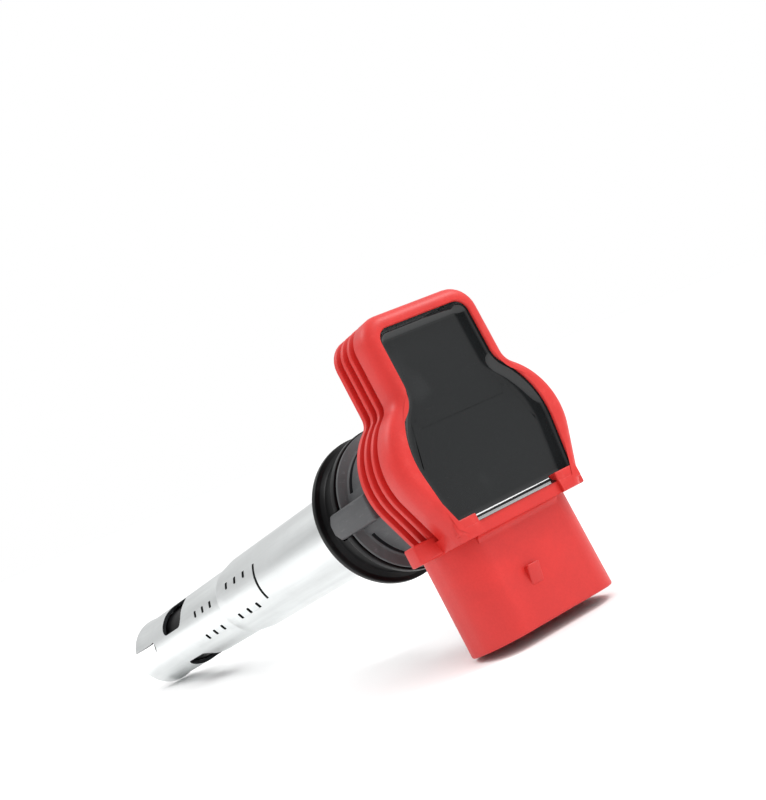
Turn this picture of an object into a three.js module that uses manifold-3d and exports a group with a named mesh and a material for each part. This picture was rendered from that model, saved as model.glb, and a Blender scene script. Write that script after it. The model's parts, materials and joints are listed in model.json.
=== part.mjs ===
// Pencil ignition coil: a potted head with a four-way connector, a rubber well seal,
// a slotted metal shaft over the windings, and a sprung plug contact in the boot.
// Millimetres. Z is the plug axis, with the head up and the connector towards +X.
// The origin is on the plug axis, in the plane where the seal sits on its seat.

import * as THREE from 'three';
import { mergeVertices } from 'three/addons/utils/BufferGeometryUtils.js';
import Module from 'manifold-3d';

// ---------------------------------------------------------------- driving dimensions

const gap = 0.3;              // clearance between pieces that sit together
const film = 0.2;             // clearance between the nested layers of the coil

// head
const rimTop = 42.3;
const skirtBottom = 29.4;
const floorThickness = 2;
const rimHeight = 5;
const rimRound = 2.4;
const ribHeight = 1;
const ribCount = 3;
const grooveDepth = 1.3;
const grooveEndX = 11.6;
const outer = { noseX: -28.4, noseHalf: 13.1, noseCorner: 5, half: 19.7, shoulderR: 13,
                shoulderX: -1, blend: 3, endX: 15.9, endHalf: 14.85, endCorner: 2.6 };
const inner = { noseX: -25.4, noseHalf: 10.25, noseCorner: 2.5, half: 15.65, shoulderR: 15.65,
                shoulderX: -1.2, blend: 4, endX: 11.8, endHalf: 14, endCorner: 0.6 };
const endFace = 14;           // flat face of the end wall, which cuts the outline short
const endWallDip = 0.7;       // end wall below the rim, between the posts
const postDepth = 1.5;
const postInnerY = 9.6;
const earSpan = 40.2;
const earLength = 3.5;
const earHeight = 3.5;
const earTop = 35.9;

// connector
const shroudWidth = 30.4;
const shroudHeight = 15;
const shroudCorner = 6.5;
const shroudWall = 1.8;
const shroudTop = 39;
const mouthX = 32.6;
const socketDepth = 15.6;
const nib = { x: 22.4, y: -2.4, width: 2.8, length: 3.6, height: 1.3 };
const terminalPitch = 5.2;
const terminalWidth = 2.8;
const terminalThickness = 0.8;
const terminalReach = 11;
const terminalCount = 4;

// potting and driver
const resinDepth = 2.2;       // resin surface below the rim
const resinSkin = 2.4;        // resin over the driver
const boardSize = [15, 16, 0.8];
const chipSize = [7, 7, 1.4];
const spreaderThickness = 1.3;

// neck and seal
const tubeRadius = 9.2;
const tubeWall = 0.6;
const neckWall = 3.1;
const neckRadius = tubeRadius + gap + neckWall;
const neckShoulderRadius = neckRadius + 1.8;
const spigotWall = 1;
const neckBottom = 9.8;
const neckShoulderTop = 11.4;
const neckGroove = { z: 12.6, height: 1, depth: 1.2, from: 20, to: 66 };
const neckBoreTop = 18;
const lug = { width: 5.2, radius: neckRadius + 2.2, bottom: 4.8, top: 20.6, chamfer: 1.5 };
const sealLipRadius = neckRadius + 2.6;
const sealLipHeight = 1.85;
const sealRadius = neckRadius + 2.1;
const sealWaist = neckRadius + 1;

// shaft
const tubeShoulderZ = -64.7;
const tubeEndZ = -69.7;
const sleeveRadius = tubeRadius - 0.7;
const sleeveWall = 0.5;
const sleeveTipRadius = sleeveRadius + 0.4;
const sleeveTipZ = -131;
const sleeveTail = 9;
const groups = 3;             // cut-outs repeat in groups around the shaft
const slit = { width: 2, height: 1.1 };
const tubeSlits = { centre: -90, spread: 25, heights: [-51.3, -56.6, -61.9] };
const sleeveSlits = { centre: -85, spread: 22, heights: [-75, -80.1, -85.2] };
const arcSlit = { centre: -93, z: -45.2, height: 1.1, angle: 54 };
const port = { centre: -132, bottom: sleeveTipZ + 21.6, top: sleeveTipZ + 35.5, angle: 56, corner: 2.5 };
const notch = { centre: -97, width: 2.7, depth: 14.4, eye: 1.5 };

// coil
const caseRadius = tubeRadius - tubeWall - gap;
const coreWall = 0.7;
const coreSlit = 1.2;
const primaryWire = 0.8;
const bobbinWall = 0.6;
const secondaryWire = 1;
const coreRadius = 2.7;
const coreTop = 14;
const coreBottom = -52;
const magnetLength = 2.6;
const padLength = 1.2;
const flange = 1;

// boot and contact
const bootWallTop = -66.6;
const bootTipZ = sleeveTipZ + 10;
const plugBore = 5.3;
const plugBoreTop = sleeveTipZ + 33.5;
const springBore = 3.7;
const resistorRadius = 2.2;
const resistorLength = 13;
const springTurns = 7;
const springWire = 0.8;
const springRadius = 2.5;
const contactTravel = 4;
const contactTop = plugBoreTop + contactTravel + 1;
const contactRadius = 3.2;
const contactLength = 6.6;

// ---------------------------------------------------------------- solids

const wasm = await Module();
wasm.setup();

const BIG = 200;
const rad = THREE.MathUtils.degToRad;

// A closed geometry becomes a manifold with its faces pointing out.
function solid(geometry) {
  const g = geometry.index ? geometry.clone() : geometry;
  g.deleteAttribute('normal');
  g.deleteAttribute('uv');
  const merged = mergeVertices(g, 1e-4);
  const p = merged.attributes.position.array;
  const index = merged.index.array;
  const tris = [];
  let volume = 0;
  const [a, b, c] = [new THREE.Vector3(), new THREE.Vector3(), new THREE.Vector3()];
  for (let i = 0; i < index.length; i += 3) {
    const [u, v, w] = [index[i], index[i + 1], index[i + 2]];
    if (u === v || v === w || w === u) continue;
    a.fromArray(p, 3 * u);
    b.fromArray(p, 3 * v);
    c.fromArray(p, 3 * w);
    volume += a.dot(b.cross(c)) / 6;
    tris.push(u, v, w);
  }
  if (volume < 0) {
    for (let i = 0; i < tris.length; i += 3) {
      [tris[i + 1], tris[i + 2]] = [tris[i + 2], tris[i + 1]];
    }
  }
  return new wasm.Manifold(new wasm.Mesh({
    numProp: 3,
    vertProperties: new Float32Array(p),
    triVerts: new Uint32Array(tris),
  }));
}

function geometryOf(manifold) {
  const mesh = manifold.getMesh();
  const g = new THREE.BufferGeometry();
  g.setAttribute('position', new THREE.BufferAttribute(mesh.vertProperties, 3));
  g.setIndex(new THREE.BufferAttribute(mesh.triVerts, 1));
  return g;
}

const join = (...items) => items.reduce((a, b) => a.add(b));
const cut = (body, ...tools) => tools.reduce((a, b) => a.subtract(b), body);

// A profile of [radius, z] points turned about the plug axis.
function turned(profile, segments = 32) {
  const points = profile.map(([r, z]) => new THREE.Vector2(r, z));
  const g = new THREE.LatheGeometry([...points, points[0].clone()], segments);
  return solid(g.rotateX(Math.PI / 2));
}

// A round tube between two heights.
function tube(rOut, rIn, z0, z1, segments = 32) {
  return turned([[rIn, z0], [rOut, z0], [rOut, z1], [rIn, z1]], segments);
}

// A round bar between two heights.
function bar(r, z0, z1, segments = 24) {
  return solid(new THREE.CylinderGeometry(r, r, z1 - z0, segments)
    .rotateX(Math.PI / 2).translate(0, 0, (z0 + z1) / 2));
}

function block(x0, x1, y0, y1, z0, z1) {
  return solid(new THREE.BoxGeometry(x1 - x0, y1 - y0, z1 - z0)
    .translate((x0 + x1) / 2, (y0 + y1) / 2, (z0 + z1) / 2));
}

// A flat shape raised from z0 to z1.
function raised(shape, z0, z1, curveSegments = 6) {
  const g = new THREE.ExtrudeGeometry(shape, { depth: z1 - z0, bevelEnabled: false, curveSegments });
  return solid(g.translate(0, 0, z0));
}

// A shape drawn in (Y, Z) and run along X from x0 to x1.
function alongX(shape, x0, x1, curveSegments = 6) {
  const g = new THREE.ExtrudeGeometry(shape, { depth: x1 - x0, bevelEnabled: false, curveSegments });
  const axes = new THREE.Matrix4().makeBasis(
    new THREE.Vector3(0, 1, 0), new THREE.Vector3(0, 0, 1), new THREE.Vector3(1, 0, 0));
  return solid(g.applyMatrix4(axes).translate(x0, 0, 0));
}

// A shape drawn in (X, Z) and run along Y from y0 to y1.
function alongY(shape, y0, y1) {
  const g = new THREE.ExtrudeGeometry(shape, { depth: y1 - y0, bevelEnabled: false });
  const axes = new THREE.Matrix4().makeBasis(
    new THREE.Vector3(1, 0, 0), new THREE.Vector3(0, 0, 1), new THREE.Vector3(0, -1, 0));
  return solid(g.applyMatrix4(axes).translate(0, y1, 0));
}

function roundedRect(cx, cy, width, height, r) {
  const [x0, x1, y0, y1] = [cx - width / 2, cx + width / 2, cy - height / 2, cy + height / 2];
  const s = new THREE.Shape();
  s.moveTo(x0 + r, y0);
  s.lineTo(x1 - r, y0);
  s.absarc(x1 - r, y0 + r, r, -Math.PI / 2, 0);
  s.lineTo(x1, y1 - r);
  s.absarc(x1 - r, y1 - r, r, 0, Math.PI / 2);
  s.lineTo(x0 + r, y1);
  s.absarc(x0 + r, y1 - r, r, Math.PI / 2, Math.PI);
  s.lineTo(x0, y0 + r);
  s.absarc(x0 + r, y0 + r, r, Math.PI, 1.5 * Math.PI);
  return s;
}

const rect = (cx, cy, width, height) => polygon([[cx - width / 2, cy - height / 2],
  [cx + width / 2, cy - height / 2], [cx + width / 2, cy + height / 2], [cx - width / 2, cy + height / 2]]);

const polygon = (points) => new THREE.Shape(points.map(([x, y]) => new THREE.Vector2(x, y)));

// A slot through a tube wall, centred at an angle: a bar along the radius, of the given shape
// in (tangent, Z).
function radialSlot(shape, angle, r0, r1, curveSegments = 4) {
  const g = new THREE.ExtrudeGeometry(shape, { depth: r1 - r0, bevelEnabled: false, curveSegments });
  const a = rad(angle);
  const axes = new THREE.Matrix4().makeBasis(
    new THREE.Vector3(-Math.sin(a), Math.cos(a), 0),
    new THREE.Vector3(0, 0, 1),
    new THREE.Vector3(Math.cos(a), Math.sin(a), 0));
  return solid(g.applyMatrix4(axes).translate(r0 * Math.cos(a), r0 * Math.sin(a), 0));
}

// A sector of a ring, from one angle to another.
function sector(r0, r1, from, to, z0, z1, steps = 8) {
  const s = new THREE.Shape();
  const at = (r, angle) => [r * Math.cos(rad(angle)), r * Math.sin(rad(angle))];
  const angles = Array.from({ length: steps + 1 }, (_, i) => from + (to - from) * i / steps);
  s.setFromPoints([
    ...angles.map((a) => new THREE.Vector2(...at(r1, a))),
    ...angles.reverse().map((a) => new THREE.Vector2(...at(r0, a))),
  ]);
  return raised(s, z0, z1);
}

// ---------------------------------------------------------------- keyhole outline

// The head's outline: a narrow nose, a concave blend, a round shoulder and a flat end.
// An inset moves every wall in by the same amount.
function keyhole(p, inset = 0) {
  const noseX = p.noseX + inset;
  const noseHalf = p.noseHalf - inset;
  const corner = Math.max(p.noseCorner - inset, 0.4);
  const shoulderR = p.shoulderR - inset;
  const shoulderY = p.half - p.shoulderR;
  const blend = p.blend + inset;
  const endX = p.endX - inset;
  const endHalf = p.endHalf - inset;

  // straight side, tangent to the end corner and to the shoulder circle
  const end = Math.max(p.endCorner - inset, 0.4);
  const dx = p.shoulderX - (endX - end);
  const dy = shoulderY - (endHalf - end);
  const tangent = 2 * Math.PI + Math.atan2(dy, dx) - Math.acos((end - shoulderR) / Math.hypot(dx, dy));

  // blend circle, outside the shoulder and above the nose's side
  const by = noseHalf + blend;
  const bx = p.shoulderX - Math.sqrt((shoulderR + blend) ** 2 - (by - shoulderY) ** 2);
  const meet = Math.atan2(by - shoulderY, bx - p.shoulderX);

  const s = new THREE.Shape();
  s.moveTo(endX, end - endHalf);
  s.absarc(endX - end, endHalf - end, end, 0, tangent, false);
  s.absarc(p.shoulderX, shoulderY, shoulderR, tangent, meet, false);
  s.absarc(bx, by, blend, meet - Math.PI, -Math.PI / 2, true);
  s.absarc(noseX + corner, noseHalf - corner, corner, Math.PI / 2, Math.PI, false);
  s.absarc(noseX + corner, corner - noseHalf, corner, Math.PI, 1.5 * Math.PI, false);
  s.absarc(bx, -by, blend, Math.PI / 2, Math.PI - meet, true);
  s.absarc(p.shoulderX, -shoulderY, shoulderR, -meet, -tangent, false);
  s.absarc(endX - end, end - endHalf, end, -tangent, 0, false);
  return s;
}

// ---------------------------------------------------------------- head

const potFloor = skirtBottom + floorThickness;
const shroudZ = shroudTop - shroudHeight / 2;
const socketBack = mouthX - socketDepth;
const terminalZ = shroudZ + 1.6;
const terminalY = (i) => (i - (terminalCount - 1) / 2) * terminalPitch;
const spigotRadius = caseRadius + film + spigotWall;
const floorHole = spigotRadius + gap;

// Pot with a rounded rim and ribbed sides.
function pot() {
  const round = new THREE.ExtrudeGeometry(keyhole(outer), {
    depth: BIG - 2 * rimRound, bevelEnabled: true, bevelThickness: rimRound,
    bevelSize: rimRound, bevelOffset: -rimRound, bevelSegments: 3, curveSegments: 6,
  }).translate(0, 0, rimTop - BIG + rimRound);
  const body = cut(solid(round), block(-BIG, BIG, -BIG, BIG, -2 * BIG, skirtBottom),
    block(endFace, BIG, -BIG, BIG, -BIG, BIG));
  const pitch = (rimTop - rimHeight - skirtBottom) / ribCount;
  const ribbed = block(-BIG / 2, grooveEndX, -BIG / 2, BIG / 2, 0, BIG);
  const grooves = Array.from({ length: ribCount }, (_, i) => {
    const z0 = skirtBottom + i * pitch + ribHeight;
    const z1 = skirtBottom + (i + 1) * pitch;
    return cut(ribbed.intersect(block(-BIG, BIG, -BIG, BIG, z0, z1)),
      raised(keyhole(outer, grooveDepth), z0 - 1, z1 + 1, 5));
  });
  return cut(body, ...grooves, raised(keyhole(inner), potFloor, BIG));
}

function shroudShape(inset = 0) {
  return roundedRect(0, shroudZ, shroudWidth - 2 * inset, shroudHeight - 2 * inset,
    shroudCorner - inset);
}

// Latch ramp: a step towards the head that falls to nothing towards the mouth.
function latchNib() {
  const low = shroudTop - 0.5;
  const side = polygon([[nib.x, low], [nib.x + nib.length, low],
    [nib.x + nib.length, shroudTop + 0.05], [nib.x, shroudTop + nib.height]]);
  return alongY(side, nib.y - nib.width / 2, nib.y + nib.width / 2);
}

function headHousing() {
  const rootX = neckRadius + 2 * gap;
  const nearNeck = block(-BIG, rootX, -BIG, BIG, 0, skirtBottom);
  const shroud = cut(alongX(shroudShape(), Math.min(rootX, endFace - 0.5), mouthX), nearNeck);
  const socket = alongX(shroudShape(shroudWall), socketBack, mouthX + 5);
  const ears = block(endFace - earLength, endFace, -earSpan / 2, earSpan / 2,
    earTop - earHeight, earTop);
  const dip = block(inner.endX - 0.5, BIG, -postInnerY, postInnerY, rimTop - endWallDip, BIG);
  const posts = [-1, 1].map((side) => {
    const [y0, y1] = [side * postInnerY, side * (inner.endHalf + 1.5)].sort((a, b) => a - b);
    return block(inner.endX - postDepth, inner.endX + 1, y0, y1, potFloor - 0.5, rimTop);
  });
  const slots = Array.from({ length: terminalCount }, (_, i) => {
    const [w, h] = [terminalWidth / 2 + gap, terminalThickness / 2 + gap];
    return block(inner.endX - postDepth - 1, socketBack + 1, terminalY(i) - w, terminalY(i) + w,
      terminalZ - h, terminalZ + h);
  });
  const inPot = raised(keyhole(inner), potFloor, BIG);
  const solidEars = cut(ears, inPot);
  return cut(join(pot(), shroud, solidEars, latchNib(), ...posts),
    socket, bar(floorHole, 0, potFloor + 1, 32), dip, ...slots);
}

// Resin: a skin over an open pocket that holds the driver.
function pottingResin() {
  const top = rimTop - resinDepth;
  const body = raised(keyhole(inner, gap), potFloor + gap, top);
  const pocket = block(-12, inner.endX + 1, -11.5, 11.5, 0, top - resinSkin);
  const posts = [-1, 1].map((side) => {
    const [y0, y1] = [side * (postInnerY - gap), side * BIG].sort((a, b) => a - b);
    return block(inner.endX - postDepth - gap, inner.endX + 1, y0, y1, 0, top + 1);
  });
  return cut(body, pocket, ...posts);
}

const spreaderZ = potFloor + 1;
const boardZ = spreaderZ + spreaderThickness + film;
const chipZ = boardZ + boardSize[2] + film;
const boardX = -3.5;

const centredBlock = (x, size, z) => block(x - size[0] / 2, x + size[0] / 2,
  -size[1] / 2, size[1] / 2, z, z + size[2]);

// A blade that runs from the pot through the end wall and ends in a pointed tab.
function terminal(i) {
  const y = terminalY(i);
  const x0 = boardX + boardSize[0] / 2 + 1.2;
  const x1 = socketBack + terminalReach;
  const [w, h] = [terminalWidth / 2, terminalThickness / 2];
  const plan = polygon([[x0, y - w], [x1 - 1.2, y - w], [x1, y - w / 2], [x1, y + w / 2],
    [x1 - 1.2, y + w], [x0, y + w]]);
  const foot = block(x0, x0 + terminalThickness, y - w, y + w, terminalZ - h, chipZ + 1);
  return join(raised(plan, terminalZ - h, terminalZ + h), foot);
}

// ---------------------------------------------------------------- neck and seal

const sealTop = neckBottom - gap;
const tubeTop = neckBoreTop - gap;
const lugAngles = [-90, 90];

// A lug at the side of the neck, with its lower edge chamfered.
function lugSolid(angle, extra = 0) {
  const half = lug.width / 2 + extra;
  const [z0, c] = [lug.bottom - extra, lug.chamfer];
  const face = polygon([[-half + c, z0], [half - c, z0], [half, z0 + c], [half, lug.top],
    [-half, lug.top], [-half, z0 + c]]);
  return radialSlot(face, angle, tubeRadius + gap + 0.5, lug.radius + extra);
}

function neckCollar() {
  const bore = tubeRadius + gap;
  const top = skirtBottom - gap;
  const body = turned([
    [bore, neckBottom], [neckShoulderRadius, neckBottom], [neckShoulderRadius, neckBottom + 0.6],
    [neckRadius, neckShoulderTop], [neckRadius, top], [spigotRadius, top],
    [spigotRadius, potFloor + film], [caseRadius + film, potFloor + film],
    [caseRadius + film, neckBoreTop], [bore, neckBoreTop],
  ], 48);
  const { z, height, depth, from, to } = neckGroove;
  const grooves = lugAngles.flatMap((a) => [[a + from, a + to], [a - to, a - from]])
    .map(([a, b]) => sector(neckRadius - depth, neckRadius + 3, a, b, z - height / 2, z + height / 2));
  return cut(join(body, ...lugAngles.map((a) => lugSolid(a))), ...grooves);
}

// Rubber seal: a lip on a waisted body, notched for the lugs.
function sealRing() {
  const bore = tubeRadius + gap;
  const body = turned([
    [bore, 0], [sealLipRadius - 0.5, 0], [sealLipRadius, 0.5], [sealLipRadius, sealLipHeight],
    [sealWaist, sealLipHeight + 1], [sealWaist, sealTop - 2.4], [sealRadius, sealTop - 1.4],
    [sealRadius, sealTop], [bore, sealTop],
  ], 48);
  return cut(body, ...lugAngles.map((a) => lugSolid(a, gap)));
}

// ---------------------------------------------------------------- shaft

// The angles at which a cut-out repeats.
const around = (centre) => Array.from({ length: groups }, (_, i) => centre + i * 360 / groups);

// Two rows of slits in each group, one each side of its centre.
function slits({ centre, spread, heights }, r0, r1) {
  return around(centre).flatMap((a) => [a - spread, a + spread]).flatMap((a) =>
    heights.map((z) => radialSlot(rect(0, z, slit.width, slit.height), a, r0, r1)));
}

// Upper tube, drawn in to the sleeve at its lower end.
function shieldTube() {
  const lip = sleeveRadius + 0.25;
  const body = turned([
    [tubeRadius - tubeWall, tubeTop], [tubeRadius - tubeWall, tubeShoulderZ],
    [lip - 0.35, tubeEndZ], [lip, tubeEndZ], [tubeRadius, tubeShoulderZ], [tubeRadius, tubeTop],
  ], 48);
  const arcs = around(arcSlit.centre).map((c) => sector(tubeRadius - 2, tubeRadius + 2,
    c - arcSlit.angle / 2, c + arcSlit.angle / 2,
    arcSlit.z - arcSlit.height / 2, arcSlit.z + arcSlit.height / 2));
  return cut(body, ...slits(tubeSlits, tubeRadius - 2, tubeRadius + 1), ...arcs);
}

// Lower sleeve: slits, wide ports, and keyhole notches at its tip.
function plugSleeve() {
  const tailR = sleeveRadius - 0.4;
  const [tailTop, seat] = [tubeEndZ + sleeveTail, tubeEndZ - 0.5];
  const flare = sleeveTipZ + 6;
  const inside = tailR - sleeveWall;
  const body = turned([
    [inside, tailTop], [inside, flare], [sleeveTipRadius - sleeveWall, sleeveTipZ],
    [sleeveTipRadius, sleeveTipZ], [sleeveRadius, flare], [sleeveRadius, seat],
    [tailR, seat], [tailR, tailTop],
  ], 48);
  const width = 2 * sleeveRadius * Math.sin(rad(port.angle / 2));
  const middle = (port.bottom + port.top) / 2;
  const ports = around(port.centre).map((a) => radialSlot(
    roundedRect(0, middle, width, port.top - port.bottom, port.corner), a, 3, sleeveRadius + 2, 3));
  const eyeZ = sleeveTipZ + notch.depth - notch.eye;
  const notches = around(notch.centre).flatMap((a) => [
    radialSlot(rect(0, sleeveTipZ, notch.width, 2 * (notch.depth - notch.eye)), a, 5, sleeveRadius + 3),
    radialSlot(roundedRect(0, eyeZ, 2 * notch.eye, 2 * notch.eye, notch.eye - 0.01), a, 5,
      sleeveRadius + 3, 3),
  ]);
  return cut(body, ...slits(sleeveSlits, sleeveRadius - 2, sleeveRadius + 1), ...ports, ...notches);
}

// ---------------------------------------------------------------- coil inside the tube

// Each layer starts one film inside the one around it.
const coreOuterIn = caseRadius - coreWall;
const primaryOut = coreOuterIn - film;
const primaryIn = primaryOut - primaryWire;
const primaryBobbinOut = primaryIn - film;
const primaryBobbinIn = primaryBobbinOut - bobbinWall;
const secondaryOut = primaryBobbinIn - film;
const secondaryIn = secondaryOut - secondaryWire;
const secondaryBobbinOut = secondaryIn - film;
const secondaryBobbinIn = coreRadius + film;

function outerCore() {
  const body = tube(caseRadius, coreOuterIn, coreBottom, coreTop);
  return cut(body, block(0, caseRadius + 1, -coreSlit / 2, coreSlit / 2, coreBottom - 1, coreTop + 1));
}

// A former with a flange at each end.
function bobbin(rOut, rIn, rFlange, z0, z1) {
  return turned([[rIn, z0], [rFlange, z0], [rFlange, z0 + flange], [rOut, z0 + flange],
    [rOut, z1 - flange], [rFlange, z1 - flange], [rFlange, z1], [rIn, z1]], 24);
}

const windingZ = [coreBottom + flange + film, coreTop - flange - film];
const terminalCupZ = coreBottom - 2;

// ---------------------------------------------------------------- boot and contact

const resistorTop = terminalCupZ - 2.4;
const resistorBottom = resistorTop - resistorLength;
const springTop = resistorBottom - 1.4;
const springBottom = contactTop + gap;

// Insulating boot: a narrow channel for the resistor and spring over a wide plug bore.
function plugBoot() {
  const outR = sleeveRadius - 0.4 - sleeveWall - gap;
  return turned([
    [plugBore + 0.6, bootTipZ], [outR, bootTipZ], [outR, bootWallTop], [springBore, bootWallTop],
    [springBore, plugBoreTop], [plugBore, plugBoreTop], [plugBore, bootTipZ + 0.6],
  ]);
}

// Plastic case end that closes the windings and carries the terminal.
function caseEnd() {
  const [top, bottom] = [coreBottom - film, tubeShoulderZ + 1];
  const outR = sleeveRadius - 0.4 - sleeveWall - gap;
  return turned([
    [resistorRadius + gap, bottom], [outR, bottom], [outR, top - 2.6], [caseRadius, top - 2.6],
    [caseRadius, top], [secondaryBobbinIn + 1.4, top], [secondaryBobbinIn + 1.4, terminalCupZ - 2],
    [resistorRadius + gap, terminalCupZ - 2],
  ]);
}

function contactSpring() {
  const rise = springTop - springBottom - springWire;
  class Helix extends THREE.Curve {
    getPoint(t, target = new THREE.Vector3()) {
      const a = 2 * Math.PI * springTurns * t;
      const z = springBottom + springWire / 2 + rise * t;
      return target.set(springRadius * Math.cos(a), springRadius * Math.sin(a), z);
    }
  }
  const wire = new THREE.Shape();
  wire.absarc(0, 0, springWire / 2, 0, 2 * Math.PI);
  return solid(new THREE.ExtrudeGeometry(wire, {
    steps: springTurns * 12, curveSegments: 3, bevelEnabled: false, extrudePath: new Helix(),
  }));
}

// Sprung cup that snaps over the plug's terminal.
function contactCap() {
  const z0 = contactTop - contactLength;
  return turned([
    [0, contactTop - 1.2], [2.3, contactTop - 1.2], [2.3, z0 + 0.6], [2.6, z0], [contactRadius, z0],
    [contactRadius, contactTop], [0, contactTop],
  ], 24);
}

// ---------------------------------------------------------------- assembly

const coil = new THREE.Group();
coil.name = 'ignition_coil';

const finish = {
  red: { color: 0xe0433f, roughness: 0.45, metalness: 0 },
  resin: { color: 0x25282a, roughness: 0.15, metalness: 0 },
  grey: { color: 0x464749, roughness: 0.55, metalness: 0 },
  rubber: { color: 0x0c0c0d, roughness: 0.3, metalness: 0 },
  metal: { color: 0xd9dcdd, roughness: 0.35, metalness: 0.9 },
  steel: { color: 0x8d9196, roughness: 0.4, metalness: 1 },
  copper: { color: 0xb4683a, roughness: 0.35, metalness: 1 },
  tin: { color: 0xc9c6b8, roughness: 0.3, metalness: 1 },
  ceramic: { color: 0xe6e2d6, roughness: 0.6, metalness: 0 },
  plastic: { color: 0x2b2d30, roughness: 0.6, metalness: 0 },
  magnet: { color: 0x5b5d62, roughness: 0.5, metalness: 0.8 },
};

function place(name, body, look) {
  const mesh = new THREE.Mesh(geometryOf(body), new THREE.MeshStandardMaterial(look));
  mesh.name = name;
  coil.add(mesh);
}

place('head_housing', headHousing(), finish.red);
place('potting_resin', pottingResin(), finish.resin);
place('heat_spreader', centredBlock(boardX, [boardSize[0] + 1, boardSize[1] + 1, spreaderThickness],
  spreaderZ), finish.copper);
place('driver_board', centredBlock(boardX, boardSize, boardZ), finish.ceramic);
place('driver_chip', centredBlock(boardX, chipSize, chipZ), finish.plastic);
for (let i = 0; i < terminalCount; i++) place(`terminal_${i + 1}`, terminal(i), finish.tin);
place('neck_collar', neckCollar(), finish.grey);
place('seal_ring', sealRing(), finish.rubber);
place('shield_tube', shieldTube(), finish.metal);
place('plug_sleeve', plugSleeve(), finish.metal);

place('outer_core', outerCore(), finish.steel);
place('primary_winding', tube(primaryOut, primaryIn, ...windingZ), finish.copper);
place('primary_bobbin', bobbin(primaryBobbinOut, primaryBobbinIn, primaryOut, coreBottom, coreTop),
  finish.plastic);
place('secondary_winding', tube(secondaryOut, secondaryIn, ...windingZ, 24), finish.copper);
place('secondary_bobbin', bobbin(secondaryBobbinOut, secondaryBobbinIn, secondaryOut,
  coreBottom, coreTop), finish.plastic);

const stack = [['core_pad_bottom', padLength, finish.rubber], ['magnet_bottom', magnetLength, finish.magnet]];
let z = coreBottom;
for (const [name, length, look] of stack) {
  place(name, bar(coreRadius, z, z + length), look);
  z += length + film;
}
const coreEnd = coreTop - padLength - magnetLength - 2 * film;
place('central_core', bar(coreRadius, z, coreEnd), finish.steel);
place('magnet_top', bar(coreRadius, coreEnd + film, coreEnd + film + magnetLength), finish.magnet);
place('core_pad_top', bar(coreRadius, coreTop - padLength, coreTop), finish.rubber);

place('case_end', caseEnd(), finish.plastic);
place('hv_terminal', bar(secondaryBobbinIn + 1, terminalCupZ - 1.4, terminalCupZ), finish.tin);
place('suppression_resistor', bar(resistorRadius, resistorBottom, resistorTop), finish.ceramic);
place('resistor_cap', bar(resistorRadius, springTop + film, resistorBottom - film), finish.tin);
place('plug_boot', plugBoot(), finish.rubber);
place('contact_spring', contactSpring(), finish.steel);
place('contact_cap', contactCap(), finish.tin);

export default coil;
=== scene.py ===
import json
import math

import bmesh
import bpy
from bpy.props import (FloatProperty, FloatVectorProperty, IntProperty, PointerProperty)
from bpy.types import Operator, Panel, PropertyGroup
from mathutils import Matrix, Vector

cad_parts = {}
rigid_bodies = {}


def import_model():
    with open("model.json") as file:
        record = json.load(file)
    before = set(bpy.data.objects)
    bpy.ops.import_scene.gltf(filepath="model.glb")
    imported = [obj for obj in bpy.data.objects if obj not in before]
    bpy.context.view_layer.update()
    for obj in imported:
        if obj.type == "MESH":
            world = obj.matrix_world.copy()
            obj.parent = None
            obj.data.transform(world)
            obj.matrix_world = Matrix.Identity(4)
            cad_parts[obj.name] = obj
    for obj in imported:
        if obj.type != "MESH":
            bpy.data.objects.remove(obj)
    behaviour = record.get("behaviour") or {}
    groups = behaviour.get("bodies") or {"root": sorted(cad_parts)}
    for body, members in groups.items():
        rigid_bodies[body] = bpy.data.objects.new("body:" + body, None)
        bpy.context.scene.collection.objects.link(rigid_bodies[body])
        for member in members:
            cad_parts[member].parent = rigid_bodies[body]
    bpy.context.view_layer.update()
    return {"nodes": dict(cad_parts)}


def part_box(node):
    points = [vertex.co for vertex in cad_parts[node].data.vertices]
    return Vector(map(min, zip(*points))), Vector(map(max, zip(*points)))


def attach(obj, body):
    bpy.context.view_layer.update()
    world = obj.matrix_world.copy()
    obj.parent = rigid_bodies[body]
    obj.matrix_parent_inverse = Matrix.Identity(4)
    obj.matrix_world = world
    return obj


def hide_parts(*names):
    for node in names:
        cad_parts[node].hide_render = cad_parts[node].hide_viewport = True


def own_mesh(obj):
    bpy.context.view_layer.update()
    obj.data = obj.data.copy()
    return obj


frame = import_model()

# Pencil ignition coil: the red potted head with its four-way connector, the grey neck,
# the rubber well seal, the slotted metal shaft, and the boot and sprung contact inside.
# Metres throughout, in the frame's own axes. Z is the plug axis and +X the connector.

bl_info = {
    "name": "Pencil ignition coil",
    "version": (1, 0, 0),
    "blender": (4, 5, 0),
    "location": "View3D > Sidebar > Coil",
    "description": "Models the looks of a pencil ignition coil around its packed frame",
    "category": "Add Mesh",
}

MM = 0.001
MERGE = 0.001 * MM
HEAD_LOW, HEAD_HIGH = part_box("head_housing")
RESIN_LOW, RESIN_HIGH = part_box("potting_resin")
NECK_LOW, NECK_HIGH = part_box("neck_collar")
SEAL_LOW, SEAL_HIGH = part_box("seal_ring")
TUBE_LOW, TUBE_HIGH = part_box("shield_tube")
SLEEVE_LOW, SLEEVE_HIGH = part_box("plug_sleeve")
BOOT_LOW, BOOT_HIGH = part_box("plug_boot")
SPRING_LOW, SPRING_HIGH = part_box("contact_spring")
CAP_LOW, CAP_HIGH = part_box("contact_cap")
BLADE_LOW, BLADE_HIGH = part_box("terminal_1")


def length(name, millimetres, description):
    return FloatProperty(name=name, default=millimetres * MM, description=description,
                         unit="LENGTH", subtype="DISTANCE", precision=5)


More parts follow.
